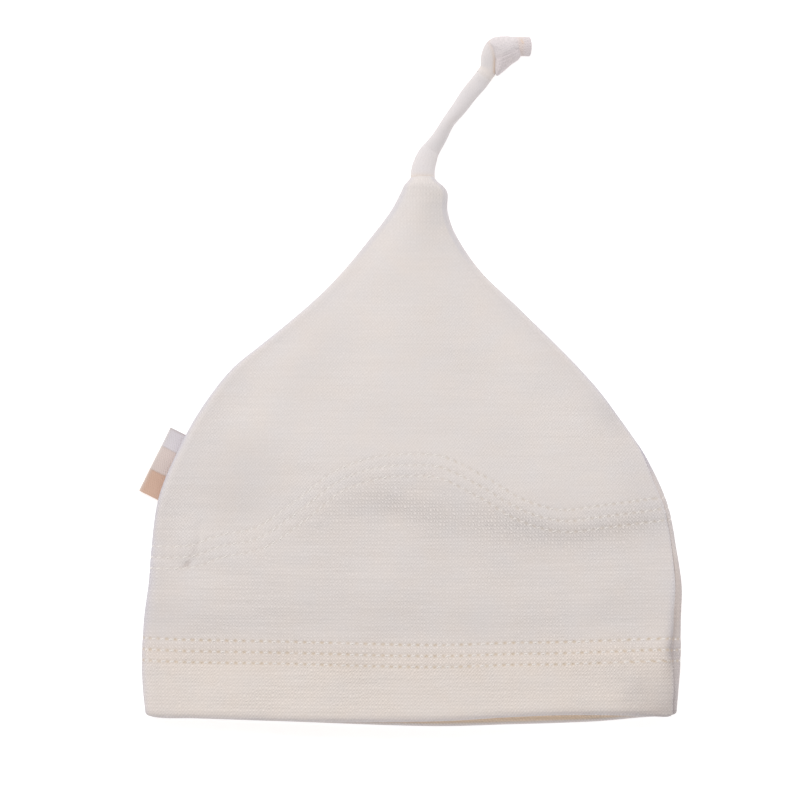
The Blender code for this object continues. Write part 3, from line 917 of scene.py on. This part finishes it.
def build_panel(name, columns, crown):
    """A panel of the body, with its turned-up hem if it has one."""
    if crown:
        heights = columns.crown_rows()
        inset = np.zeros_like(heights)
        depth = WALL + inset
        inside = 1.0
    else:
        heights, steps = columns.band_rows()
        round_in = FOLD - np.sqrt(np.maximum(FOLD**2 - np.maximum(FOLD - steps, 0) ** 2, 0))
        inset = round_in + 0 * heights
        edge = hem_line(0.5) + 1.5 * HEM_SPACING
        layers = mix(HEM_LAYERS, 1, ease((heights - edge) / (3 * FINE) + 0.5))
        depth = WALL * layers - inset
        inside = ease((steps - 0.0006) / 0.0008)
    turns = columns.at(heights)
    point, normal = surface(heights, turns, columns)
    outer = point - normal * inset[..., None]
    outer[..., 2] = np.maximum(outer[..., 2], 0.0)
    inner = point - normal * depth[..., None]
    panel = shell(name, outer, inner, folded=not crown)
    cloth = Cloth(columns, crown, heights, turns)
    grain, rim_shade, dark, parts = cloth.grain(), cloth.rim_shade(), cloth.dark(), cloth.parts()
    flat = cloth.on_the_flat()
    seam = joined(*cloth.stitching(), cloth.warmer())
    # Tone carries the grain, the painted rim shade and, on the inner layer, painted warm bounce
    # light; part carries the band, the hem and the painted shade; seam carries the painted warm
    # shade.
    for stored, out, within in (
        ("cloth", flat, flat),
        ("seam", seam, seam),
        ("tone", joined(grain, rim_shade, 0), joined(grain, rim_shade, inside)),
        ("part", joined(*parts, dark), joined(*parts, 0.3 * dark)),
    ):
        within = within[0 if crown else 1 :]
        give_places(panel, stored, np.concatenate((out.reshape(-1, 3), within.reshape(-1, 3))))
    return panel


def swept(points, ups, half_wide, half_tall, sides_count, bumps=1.0):
    """Rings of points round a line: wide across the up direction and tall along it."""
    ahead = np.gradient(points, axis=0)
    ahead /= np.linalg.norm(ahead, axis=1, keepdims=True)
    across = np.cross(ahead, ups)
    across /= np.linalg.norm(across, axis=1, keepdims=True)
    up = np.cross(across, ahead)
    angle = np.linspace(0, CYCLE, sides_count, endpoint=False)
    wide = half_wide[:, None] * np.cos(angle) * bumps
    tall = half_tall[:, None] * np.sin(angle) * bumps
    rings = points[:, None] + across[:, None] * wide[..., None] + up[:, None] * tall[..., None]
    rings[..., 2] = np.maximum(rings[..., 2], TABLE_GAP / 2)
    return rings


def tube_faces(rings, sides_count, start=0):
    """The faces of a tube with closed ends, for rings of points in order."""
    index = start + np.arange(rings * sides_count).reshape(rings, sides_count)
    index = np.concatenate((index, index[:, :1]), axis=1)
    return [*strip(index).tolist(), index[0, :-1][::-1].tolist(), index[-1, :-1].tolist()]


def thread_along(columns, line_height, offset, slant):
    """One line of stitches, beside a line across a panel: points, ups and places on the thread."""
    lengths = columns.lengths(line_height)
    stitches = int(lengths[-1] / STITCH)
    along = np.linspace(0, stitches * STITCH, stitches * THREAD_STEPS + 1)
    number = np.floor(along / STITCH)
    uneven = np.sin(number * 2.4 + offset * 900) + np.sin(number * 5.1 + 1)
    leaning = slant * (1 + 0.3 * uneven) * (np.mod(along / STITCH, 1.0) - 0.5)
    places = np.interp(along, lengths, columns.places)
    height, _ = columns.line(line_height, places)
    steep = np.interp(along, lengths, columns.steepness(line_height))
    height = height + (offset + leaning) * steep
    arch = np.abs(np.sin(math.pi * along / STITCH))
    raised = FRONT_RAISED if columns.front else BACK_RAISED
    lift = mix(-THREAD_SUNK, raised + UNEVEN * uneven, arch)
    point, normal = surface(height, columns.at(height, places), columns, lift)
    return point, normal, along


def build_stitches(name, columns, line_height, spacing, slant):
    """Three lines of stitches on the outside of a panel."""
    points, faces, places = [], [], []
    around = np.linspace(0, 1, THREAD_SIDES, endpoint=False) * math.pi * THREAD
    for line in (-1, 0, 1):
        middle, ups, along = thread_along(columns, line_height, line * spacing, slant)
        half = np.full(len(middle), THREAD / 2)
        faces += tube_faces(len(middle), THREAD_SIDES, THREAD_SIDES * len(points))
        points.extend(swept(middle, ups, half, THREAD_FLAT * half, THREAD_SIDES))
        places.extend(joined(around, along[:, None], 0))
    piece = mesh_object(name, points, faces)
    give_places(piece, "cloth", np.array(places))
    return piece


def rope_path():
    """The tail's line from inside the neck to the cut end: x, y, z, width, and where it ends."""
    neck_middle = WALL + neck_bore() / 2
    rows = []
    for step in TAIL_ROUTE:
        width = TAIL_BASE * step.width
        z = mix(neck_middle, width / 2 + TABLE_GAP, step.sink)
        rows.append((NECK_SHIFT + step.x, BODY_HEIGHT + step.y - ORIGIN_HEIGHT, z, width))
    end = rows[-1]
    for step in KNOT_STRAND:
        rows.append((end[0] + step.x, end[1] + step.y, step.up, step.width))
    return smooth_points(rows, ROPE_STEPS), (len(TAIL_ROUTE) - 1) * ROPE_STEPS


def rope_halves(path, split):
    """Half the width and height of the rolled strip: where it narrows it stands on edge."""
    half = path[:, 3] / 2
    wide, tall = FLAT_WIDE / 2, FLAT_TALL / 2
    on_edge = np.clip((wide**2 - half**2) / (wide**2 - tall**2), 0, 1)
    height = np.sqrt(mix(tall**2, wide**2, on_edge))
    steps = np.arange(len(path))
    at_base = 1 - ease((steps - ROPE_STEPS) / (6.0 * ROPE_STEPS))
    in_knot = ease((steps - split + ROPE_STEPS) / ROPE_STEPS)
    return half, mix(mix(height, half * 0.97, at_base), half * 0.95, in_knot)


def rope_rings(path, split):
    """The rolled strip's middle line, its rings of points and how far along each ring is."""
    half_wide, half_tall = rope_halves(path, split)
    steps = np.arange(len(path))
    lying = ease((steps - 1.5 * ROPE_STEPS) / (5.5 * ROPE_STEPS))
    level = np.where(steps <= split, half_tall + TABLE_GAP, path[:, 2])
    middle = path[:, :3].copy()
    middle[:, 2] = mix(middle[:, 2], level, lying)
    angle = np.linspace(0, CYCLE, TUBE_SIDES, endpoint=False)
    along = lengths_along(middle)
    edge_angle = 0.45 - 14 * along[:, None]
    bumps = 1 - 0.05 * bell(np.sin((angle - edge_angle) / 2), 0.12)
    bumps += 0.010 * np.sin(3 * angle + 150 * along[:, None])
    end = np.ones(len(path))
    end[-4:] = (0.98, 0.93, 0.82, 0.55)
    ups = np.tile((0.0, 0.0, 1.0), (len(path), 1))
    return middle, swept(middle, ups, half_wide * end, half_tall * end, TUBE_SIDES, bumps), along


def rope_tone(rings, along, corner, split):
    """Painted warm shade in the strip's folds, how far into the knot it is, and painted light
    where it is well lit.
    """
    past = along - along[split]
    crease_shade = np.maximum(0.9 * bell(along - along[ROPE_STEPS] - 0.0018, 0.0009),
                        0.5 * bell(past - 0.0012, 0.0016))
    crease_shade = np.maximum(crease_shade, 0.6 * bell(along - along[-1] + 0.0034, 0.0010))[:, None]
    x, y = rings[..., 0] - corner[0], rings[..., 1] - corner[1]
    crease = bell(ridge_line(x, y, WRAP_LEFT), 0.0005) * mix(1.6, 0.5, ease((y - 0.003) / 0.004))
    crease_shade = np.maximum(crease_shade, crease)
    crease_shade = np.maximum(crease_shade, 1.7 * bell(ridge_line(x, y, STUB_CREASE), 0.0004))
    knotted = ease((past - 0.0070) / 0.003)[:, None]
    return joined(crease_shade, knotted, bell(past - 0.0015, 0.0038)[:, None])


def build_rope():
    """The tail as far as the knot, the strand on to its cut end, and the line of the tail."""
    path, split = rope_path()
    middle, rings, along = rope_rings(path, split)
    around = np.linspace(0, CYCLE, TUBE_SIDES, endpoint=False) * 0.0027
    places = joined(around, along[:, None], 0)
    tone = rope_tone(rings, along, path[split, :2], split)
    pieces = []
    for name, part in (("tail_tube", slice(split + 1)), ("knot_strand", slice(split, None))):
        piece = mesh_object(name, rings[part], tube_faces(len(rings[part]), TUBE_SIDES))
        give_places(piece, "cloth", places[part])
        give_places(piece, "tone", tone[part])
        pieces.append(piece)
    return *pieces, middle[: split + 1]


def wrap_grids():
    """The loop's upper and lower points, from near its middle out, measured as its outline is."""
    outline = smooth_points(WRAP_OUTLINE[-2:] + WRAP_OUTLINE + WRAP_OUTLINE[:2], WRAP_STEPS)
    outline = outline[2 * WRAP_STEPS :][:WRAP_SPOKES]
    middle = np.array(WRAP_MIDDLE)
    share = np.sin(np.linspace(0, math.pi / 2, WRAP_RINGS + 1))[1:, None, None]
    flat = middle + share * (outline - middle)
    x, y = flat[..., 0], flat[..., 1]
    bulge = (1 - share[..., 0] ** 2.6) ** 0.5
    fold = ridge_line(x, y, WRAP_FOLD)
    crest = WRAP_HEIGHT / 2 * mix(1.0, 0.80, ease((0.0010 - fold) / 0.0035))
    sunk = 0.00022 * bell(fold, 0.00055) + 0.00024 * bell(ridge_line(x, y, WRAP_BAND), 0.00035)
    ribs = RIB_DEPTH * (1 - np.cos(CYCLE * fold / RIB_SPACING)) * (fold < 0)
    top = WRAP_HEIGHT / 2 + crest * bulge - (sunk + ribs) * bulge
    bottom = WRAP_HEIGHT / 2 - (WRAP_HEIGHT / 2 - TABLE_GAP) * bulge**0.7
    return joined(x, y, top), joined(x, y, bottom)


def wrap_faces():
    """The faces between the loop's rings, and those round its two middle points."""
    count = WRAP_RINGS * WRAP_SPOKES
    upper = np.arange(count).reshape(-1, WRAP_SPOKES)
    lower = np.concatenate((upper[:-1] + count, upper[-1:]))
    tip = 2 * count - WRAP_SPOKES
    upper, lower = (np.concatenate((index, index[:, :1]), axis=1) for index in (upper, lower))
    faces = strip(upper)[:, ::-1].tolist() + strip(lower).tolist()
    for i in range(WRAP_SPOKES):
        faces.append((int(upper[0, i]), int(upper[0, i + 1]), tip))
        faces.append((int(lower[0, i + 1]), int(lower[0, i]), tip + 1))
    return faces


def build_wrap(corner):
    """The loop of the knot: a pillow with its fold, its ribs and its edge band."""
    over, under = wrap_grids()
    ends = [(*WRAP_MIDDLE, float(over[0, :, 2].mean())), (*WRAP_MIDDLE, TABLE_GAP)]
    points = np.concatenate((over.reshape(-1, 3), under[:-1].reshape(-1, 3), ends))
    x, y, z = points.T
    piece = mesh_object("knot_wrap", points + (*corner, 0.0), wrap_faces())
    fold = ridge_line(x, y, WRAP_FOLD)
    run = x + corner[0] + 0.5 * (y + corner[1]) + 0.6 * z
    give_places(piece, "cloth", joined(fold + z * 0.5, run, 0))
    # Painted warm shade in the crease along the loop's left side.
    warm = ease((0.0060 - z) / 0.0035) * bell(ridge_line(x, y, WRAP_LEFT), 0.0006)
    # Painted shade on the loop's lower face, below its fold, given through the knot's tint.
    shaded = 1 - 0.4 * ease((fold + 0.0006) / 0.0016)
    give_places(piece, "tone", joined(warm * mix(1.5, 0.5, ease(y / 0.007)), shaded, 0))
    return piece


def label_profile():
    """The label's outside and lining, as x and z: out underneath, round its fold, back on top."""
    half = LABEL_THICKNESS / 2
    reach = LABEL_REACH - half
    bend = np.linspace(math.pi, 0, LABEL_STEPS[2])[1:-1]
    flat = np.linspace(LABEL_HIDDEN, -reach, LABEL_STEPS[1])
    x = np.concatenate((flat, -reach - half * np.sin(bend), flat[::-1]))
    z = np.concatenate((0 * flat, half + half * np.cos(bend), 0 * flat + 2 * half))
    inward = np.where(z > half, -LABEL_LINING, LABEL_LINING) * np.abs(z - half) / half
    return x, z, np.maximum(x, -reach), z + inward


def build_label():
    """The folded tab, out of the left side seam and lying almost on the surface."""
    step = 0.25 * LABEL_LENGTH
    below, above = (float(sides(LABEL_HEIGHT + way * step)[0]) for way in (-1, 1))
    lean = math.atan2(above - below, 2 * step) + LABEL_TURN
    turn = np.array(((math.cos(lean), -math.sin(lean)), (math.sin(lean), math.cos(lean))))
    x, z, inner_x, inner_z = label_profile()
    along = np.linspace(-0.5, 0.5, LABEL_STEPS[0])[:, None] * LABEL_LENGTH
    out = np.clip(-x / LABEL_REACH, 0, 1)
    wave = LABEL_WAVE * out * (np.cos(3.2 * math.pi * along / LABEL_LENGTH + 0.6) + 1) + TABLE_GAP
    grids = [joined(x, along, z + wave), joined(inner_x, along, inner_z + wave)]
    for grid in grids:
        grid[..., :2] = grid[..., :2] @ turn + ((below + above) / 2, LABEL_HEIGHT - ORIGIN_HEIGHT)
    piece = shell("side_tab", *grids, folded=False)
    give_places(piece, "cloth", np.tile(joined(x, along, 0).reshape(-1, 3), (2, 1)))
    return piece


class Value:
    """A number or a colour that a material's nodes work out at each point."""

    def __init__(self, finish, socket):
        self.finish = finish
        self.socket = socket

    def math(self, operation, *others):
        return self.finish.math(operation, self, *others)

    def __add__(self, other):
        return self.math("ADD", other)

    def __sub__(self, other):
        return self.math("SUBTRACT", other)

    def __rsub__(self, other):
        return self.finish.math("SUBTRACT", other, self)

    def __mul__(self, other):
        return self.math("MULTIPLY", other)

    def __truediv__(self, other):
        return self.math("DIVIDE", other)

    def held(self):
        """The same value, kept between 0 and 1."""
        return self.math("MINIMUM", 1.0).math("MAXIMUM", 0.0)

    def bell(self, reach):
        """1 where the value is 0, falling away over a reach."""
        scaled = self / reach
        return (scaled * scaled * -1.0).math("EXPONENT")


class Finish:
    """A material, with short calls that add its nodes and join them."""

    def __init__(self, name, roughness, sheen=0.0, sheen_roughness=0.5):
        self.material = bpy.data.materials.new(name)
        self.material.use_nodes = True
        self.tree = self.material.node_tree
        self.shader = self.tree.nodes["Principled BSDF"]
        self.set("Roughness", roughness)
        self.set("Specular IOR Level", 0.2)
        self.set("Sheen Weight", sheen)
        self.set("Sheen Roughness", sheen_roughness)

    def set(self, name, value):
        self.join(self.shader.inputs[name], value)

    def join(self, socket, value):
        if isinstance(value, Value):
            self.tree.links.new(value.socket, socket)
        elif socket.type == "RGBA":
            socket.default_value = (*value, 1.0)
        else:
            socket.default_value = value

    def node(self, kind, inputs, output=0, **settings):
        made = self.tree.nodes.new(kind)
        for key, value in settings.items():
            setattr(made, key, value)
        for key, value in inputs.items():
            self.join(made.inputs[key], value)
        return Value(self, made.outputs[output])

    def math(self, operation, *values):
        return self.node("ShaderNodeMath", dict(enumerate(values)), operation=operation)

    def places(self, name):
        """The vector stored at the vertices, and its three parts."""
        vector = self.node("ShaderNodeAttribute", {}, "Vector", attribute_name=name)
        parts = [self.node("ShaderNodeSeparateXYZ", {"Vector": vector}, part) for part in "XYZ"]
        return vector, *parts

    def noise(self, vector, scale, detail=2.0, roughness=0.5):
        """Soft noise from -0.5 to 0.5."""
        inputs = {"Vector": vector, "Scale": scale, "Detail": detail, "Roughness": roughness}
        return self.node("ShaderNodeTexNoise", inputs, "Fac") - 0.5

    def blend(self, low, high, share):
        """A colour between two colours."""
        return self.node("ShaderNodeMix", {0: share, 6: low, 7: high}, 2, data_type="RGBA")

    def shaded(self, tone, light):
        """A colour multiplied by a number, or any vector by another."""
        return self.node("ShaderNodeVectorMath", {0: tone, 1: light}, operation="MULTIPLY")

    def tinted(self, tone, tint, share):
        """A colour multiplied by a tint, in part."""
        return self.shaded(tone, self.blend(WHITE, tint, share))

    def done(self, tone, height, distance):
        """The material, with its colour and its bumps."""
        inputs = {"Height": height, "Distance": distance, "Strength": 1.0}
        self.set("Base Color", tone)
        self.set("Normal", self.node("ShaderNodeBump", inputs, "Normal"))
        return self.material


def knit(finish, cloth, u, v, band, hem, crisp):
    """How light the knitted loops are, from -1 to 1."""
    wales = (finish.noise(cloth, 450.0) * (1.3 * WALE) + u) * (CYCLE / WALE)
    courses = (finish.noise(cloth, 620.0, 3.0) * (1.3 * COURSE) + v) * (CYCLE / COURSE)
    rising = band * -0.14 + hem * 0.17 - crisp * 0.19 + 0.56
    falling = band * -0.05 - hem * 0.14 + crisp * 0.09 + 0.47
    ribs = ((v - 0.134) / 0.012).held() * 0.45 + crisp * 0.22 + (band - hem) * 0.14 + 0.15
    loops = (wales - courses).math("COSINE") * rising + (wales + courses).math("COSINE") * falling
    loops += courses.math("COSINE") * (band * 0.20 + 0.21)
    return loops + wales.math("COSINE") * ribs


def stitch_marks(finish):
    """Needle holes, the puckers between them, how near the stitches are, and the share of painted
    warm shade.
    """
    seam, along, apart, warmer = finish.places("seam")
    outer = apart - (WAVE_SPACING + HEM_SPACING) / 2
    lines = apart.bell(HOLE_REACH).math("MAXIMUM", outer.bell(HOLE_REACH))
    turns = (along * (CYCLE / STITCH)).math("COSINE")
    uneven = (finish.noise(seam, 210.0, 1.0) * 3.0 + 0.9).held() + 0.2
    holes = lines * (turns * 0.5 + 0.5).math("POWER", 1.6) * uneven
    return holes, turns * apart.bell(0.0042), apart.bell(0.0045), warmer


def cloth_tone(finish, cloth, colour, *tints):
    """The cloth's own colour, which drifts from cooler to warmer, and its tints."""
    warm, cool = np.array(colour) * DRIFT_TINT, np.array(colour) / DRIFT_TINT
    tone = finish.blend(cool, warm, (finish.noise(cloth, 120.0, 4.0) * 2.6 + 0.5).held())
    for tint, share in tints:
        tone = finish.tinted(tone, tint, share)
    return tone


def cloth_finish():
    """Knit cloth: loops, streaks, drifts of tone, fuzz and the needle holes of its stitching."""
    finish = Finish("knit_cloth", roughness=0.92, sheen=0.2, sheen_roughness=0.45)
    cloth, u, v, _ = finish.places("cloth")
    _, band, hem, dark = finish.places("part")
    _, grain, rim_shade, inside = finish.places("tone")
    holes, pucker, near, warmer = stitch_marks(finish)
    crisp = ((grain - 1.35) / 0.6).held() * (1.0 - hem * 0.6)
    loops = knit(finish, cloth, u, v, band, hem, crisp)
    grain *= finish.noise(cloth, 55.0) * 1.6 + 1.0
    streaks = finish.noise(finish.shaded(cloth, (45.0, 760.0, 1.0)), 1.0, 3.0, 0.6)
    fuzz = finish.noise(cloth, 1500.0, 2.0, 0.7)
    light = (streaks * (1.0 - crisp * 0.5) * 0.9 + loops * 0.42) * grain + fuzz * 0.7
    low = ((0.034 - v) / 0.004).held()
    holes *= (u * 60.0 + 0.3).math("MAXIMUM", 0.45).math("MAXIMUM", low).held()
    # These tints carry painted light and shade: warm bounce light on the inner layer, cool shade
    # at the rims, warm shade on the strip and in the pucker, and the darker patches and folds.
    tone = cloth_tone(finish, cloth, CLOTH, (BAND_TINT, band), (HEM_TINT, hem),
                      (PAINTED_BOUNCE_TINT, inside), (PAINTED_RIM_SHADE, rim_shade), (PAINTED_STRIP_SHADE, warmer),
                      (PAINTED_SHADE_TINT, dark))
    tone = finish.tinted(finish.shaded(tone, light * GRAIN + 1.0), HEM_GLOW, near * low)
    hole = finish.blend(WAVE_HOLE, HEM_HOLE, low)
    tone = finish.blend(tone, hole, holes * (low * 0.20 + 0.34))
    height = (loops * 0.5 + fuzz * 0.8) * grain - pucker * 0.18 - holes * 0.8
    return finish.done(tone, height, 0.00006)


def tail_finish():
    """The tail's finer knit, rolled up: ribs along it, and painted warm shade in its folds."""
    finish = Finish("tail_cloth", roughness=0.9, sheen=0.25, sheen_roughness=0.45)
    cloth, u, v, _ = finish.places("cloth")
    _, crease_shade, knotted, lit = finish.places("tone")
    ribs = ((finish.noise(cloth, 500.0) * 0.0012 + u) * (CYCLE / 0.00075)).math("COSINE")
    loops = ribs * (v * (CYCLE / 0.0008)).math("COSINE")
    light = ribs * 0.14 + loops * 0.32 + finish.noise(cloth, 1500.0, 2.0, 0.7) * 0.9
    light *= knotted * 1.2 + 0.8
    tone = cloth_tone(finish, cloth, TAIL_CLOTH, (PAINTED_CREASE_SHADE, crease_shade * 0.6),
                      (KNOT_TINT, knotted), (LIT_TINT, lit))
    return finish.done(finish.shaded(tone, light * (GRAIN * 0.8) + 1.0), light, 0.00008)


def thread_finish():
    """Spun thread: plies twisted round each other."""
    finish = Finish("stitch_thread", roughness=0.7, sheen=0.1)
    _, around, along, _ = finish.places("cloth")
    slant = along * (CYCLE / 0.0005) + around * (4.0 / THREAD)
    plies = slant.math("SINE") * 0.5 + 0.5
    return finish.done(finish.blend(THREAD_SHADE, THREAD_COLOUR, plies), plies, 0.00006)


def label_finish():
    """Woven tape in three blocks of colour, with its ribs and a paler bound edge."""
    finish = Finish("woven_tape", roughness=0.6, sheen=0.15)
    cloth, across, along, _ = finish.places("cloth")
    slanted = finish.noise(cloth, 700.0) * 0.0005 + along * 0.35 + across
    ribs = (slanted * (CYCLE / 0.00058)).math("SINE")
    weft = (along * (CYCLE / 0.00072)).math("SINE")
    weave = ribs * weft * 0.22 + ribs * 0.26 + 0.5
    place = along / LABEL_LENGTH + finish.noise(cloth, 900.0) * 0.02 + 0.01
    above, below = (place - step for step in TAB_STEPS)
    tone = finish.blend(TAB_LOW, TAB_MIDDLE, (below * 60.0 + 0.5).held())
    tone = finish.blend(tone, TAB_TOP, (above * 60.0 + 0.5).held())
    joins = above.bell(0.012).math("MAXIMUM", below.bell(0.012))
    tone = finish.blend(tone, TAB_SHADE, joins * 0.25)
    tone = finish.blend(TAB_SHADE, tone, weave * 0.20 + 0.81)
    tone = finish.blend(tone, TAB_EDGE, (across + LABEL_REACH).bell(0.0007) * 0.5)
    tone = finish.blend(tone, TAB_SHADE, (place - 0.5).bell(0.018) * 0.30)
    return finish.done(tone, weave, 0.00008)


def floor_finish():
    finish = Finish("pale_floor", roughness=0.9)
    finish.set("Base Color", FLOOR)
    finish.set("Emission Color", WHITE)
    finish.set("Emission Strength", FLOOR_GLOW)
    return finish.material


def add_camera():
    data = bpy.data.cameras.new("camera")
    data.lens = CAMERA_LENS
    data.sensor_width = SENSOR_WIDTH
    camera = bpy.data.objects.new("camera", data)
    camera.location = CAMERA_PLACE
    bpy.context.scene.collection.objects.link(camera)
    bpy.context.scene.camera = camera


def add_light():
    data = bpy.data.lights.new("key", "AREA")
    data.shape = "DISK"
    data.size = KEY_SIZE
    data.energy = KEY_POWER
    light = bpy.data.objects.new("key", data)
    light.location = KEY_PLACE
    light.rotation_mode = "QUATERNION"
    light.rotation_quaternion = (-Vector(KEY_PLACE)).to_track_quat("-Z", "Y")
    bpy.context.scene.collection.objects.link(light)


def add_sky():
    world = bpy.data.worlds.new("studio")
    world.use_nodes = True
    sky = world.node_tree.nodes["Background"]
    sky.inputs["Color"].default_value = (*WHITE, 1.0)
    sky.inputs["Strength"].default_value = SKY_STRENGTH
    bpy.context.scene.world = world
    bpy.context.scene.view_settings.view_transform = "Standard"


def add_floor():
    corners = np.array([(-1, -1, 0), (1, -1, 0), (1, 1, 0), (-1, 1, 0)]) * FLOOR_REACH
    floor = mesh_object("floor", corners, [(0, 1, 2, 3)])
    floor.data.materials.append(floor_finish())


def dress(piece, material, nodes=()):
    piece.data.materials.append(material)
    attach(piece, "root")
    if nodes:
        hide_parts(*nodes)


add_camera()
knit_cloth = cloth_finish()
tail_cloth = tail_finish()
thread = thread_finish()

tail, strand, tail_line = build_rope()
dress(tail, tail_cloth, ["tail"])
dress(strand, tail_cloth, ["tail_knot"])
wrap = build_wrap(tail_line[-1][:2])
dress(wrap, tail_cloth)
tail_length = float(lengths_along(tail_line)[-1])
tuple(tail_line[0])
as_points(tail_line)

FRONT = Columns(front=True)
BACK = Columns(front=False)
for name, columns, is_crown, cut, area in (
    ("crown_front", FRONT, True, (0.160, 0.112), 0.0087),
    ("crown_back", BACK, True, (0.160, 0.112), 0.0090),
    ("band_front", FRONT, False, (0.160, 0.098), 0.0130),
    ("band_back", BACK, False, (0.160, 0.088), 0.0122),
):
    panel = build_panel(name + "_knit", columns, is_crown)
    dress(panel, knit_cloth, [name])

for side, columns in (("front", FRONT), ("back", BACK)):
    for kind, line, spacing, slant in (("wave", columns.wave, WAVE_SPACING, WAVE_SLANT),
                                       ("hem", hem_line, HEM_SPACING, HEM_SLANT)):
        stitches = build_stitches(f"{kind}_stitches_{side}", columns, line, spacing, slant)
        dress(stitches, thread)

label = build_label()
dress(label, label_finish(), ["label"])
add_floor()
add_light()
add_sky()
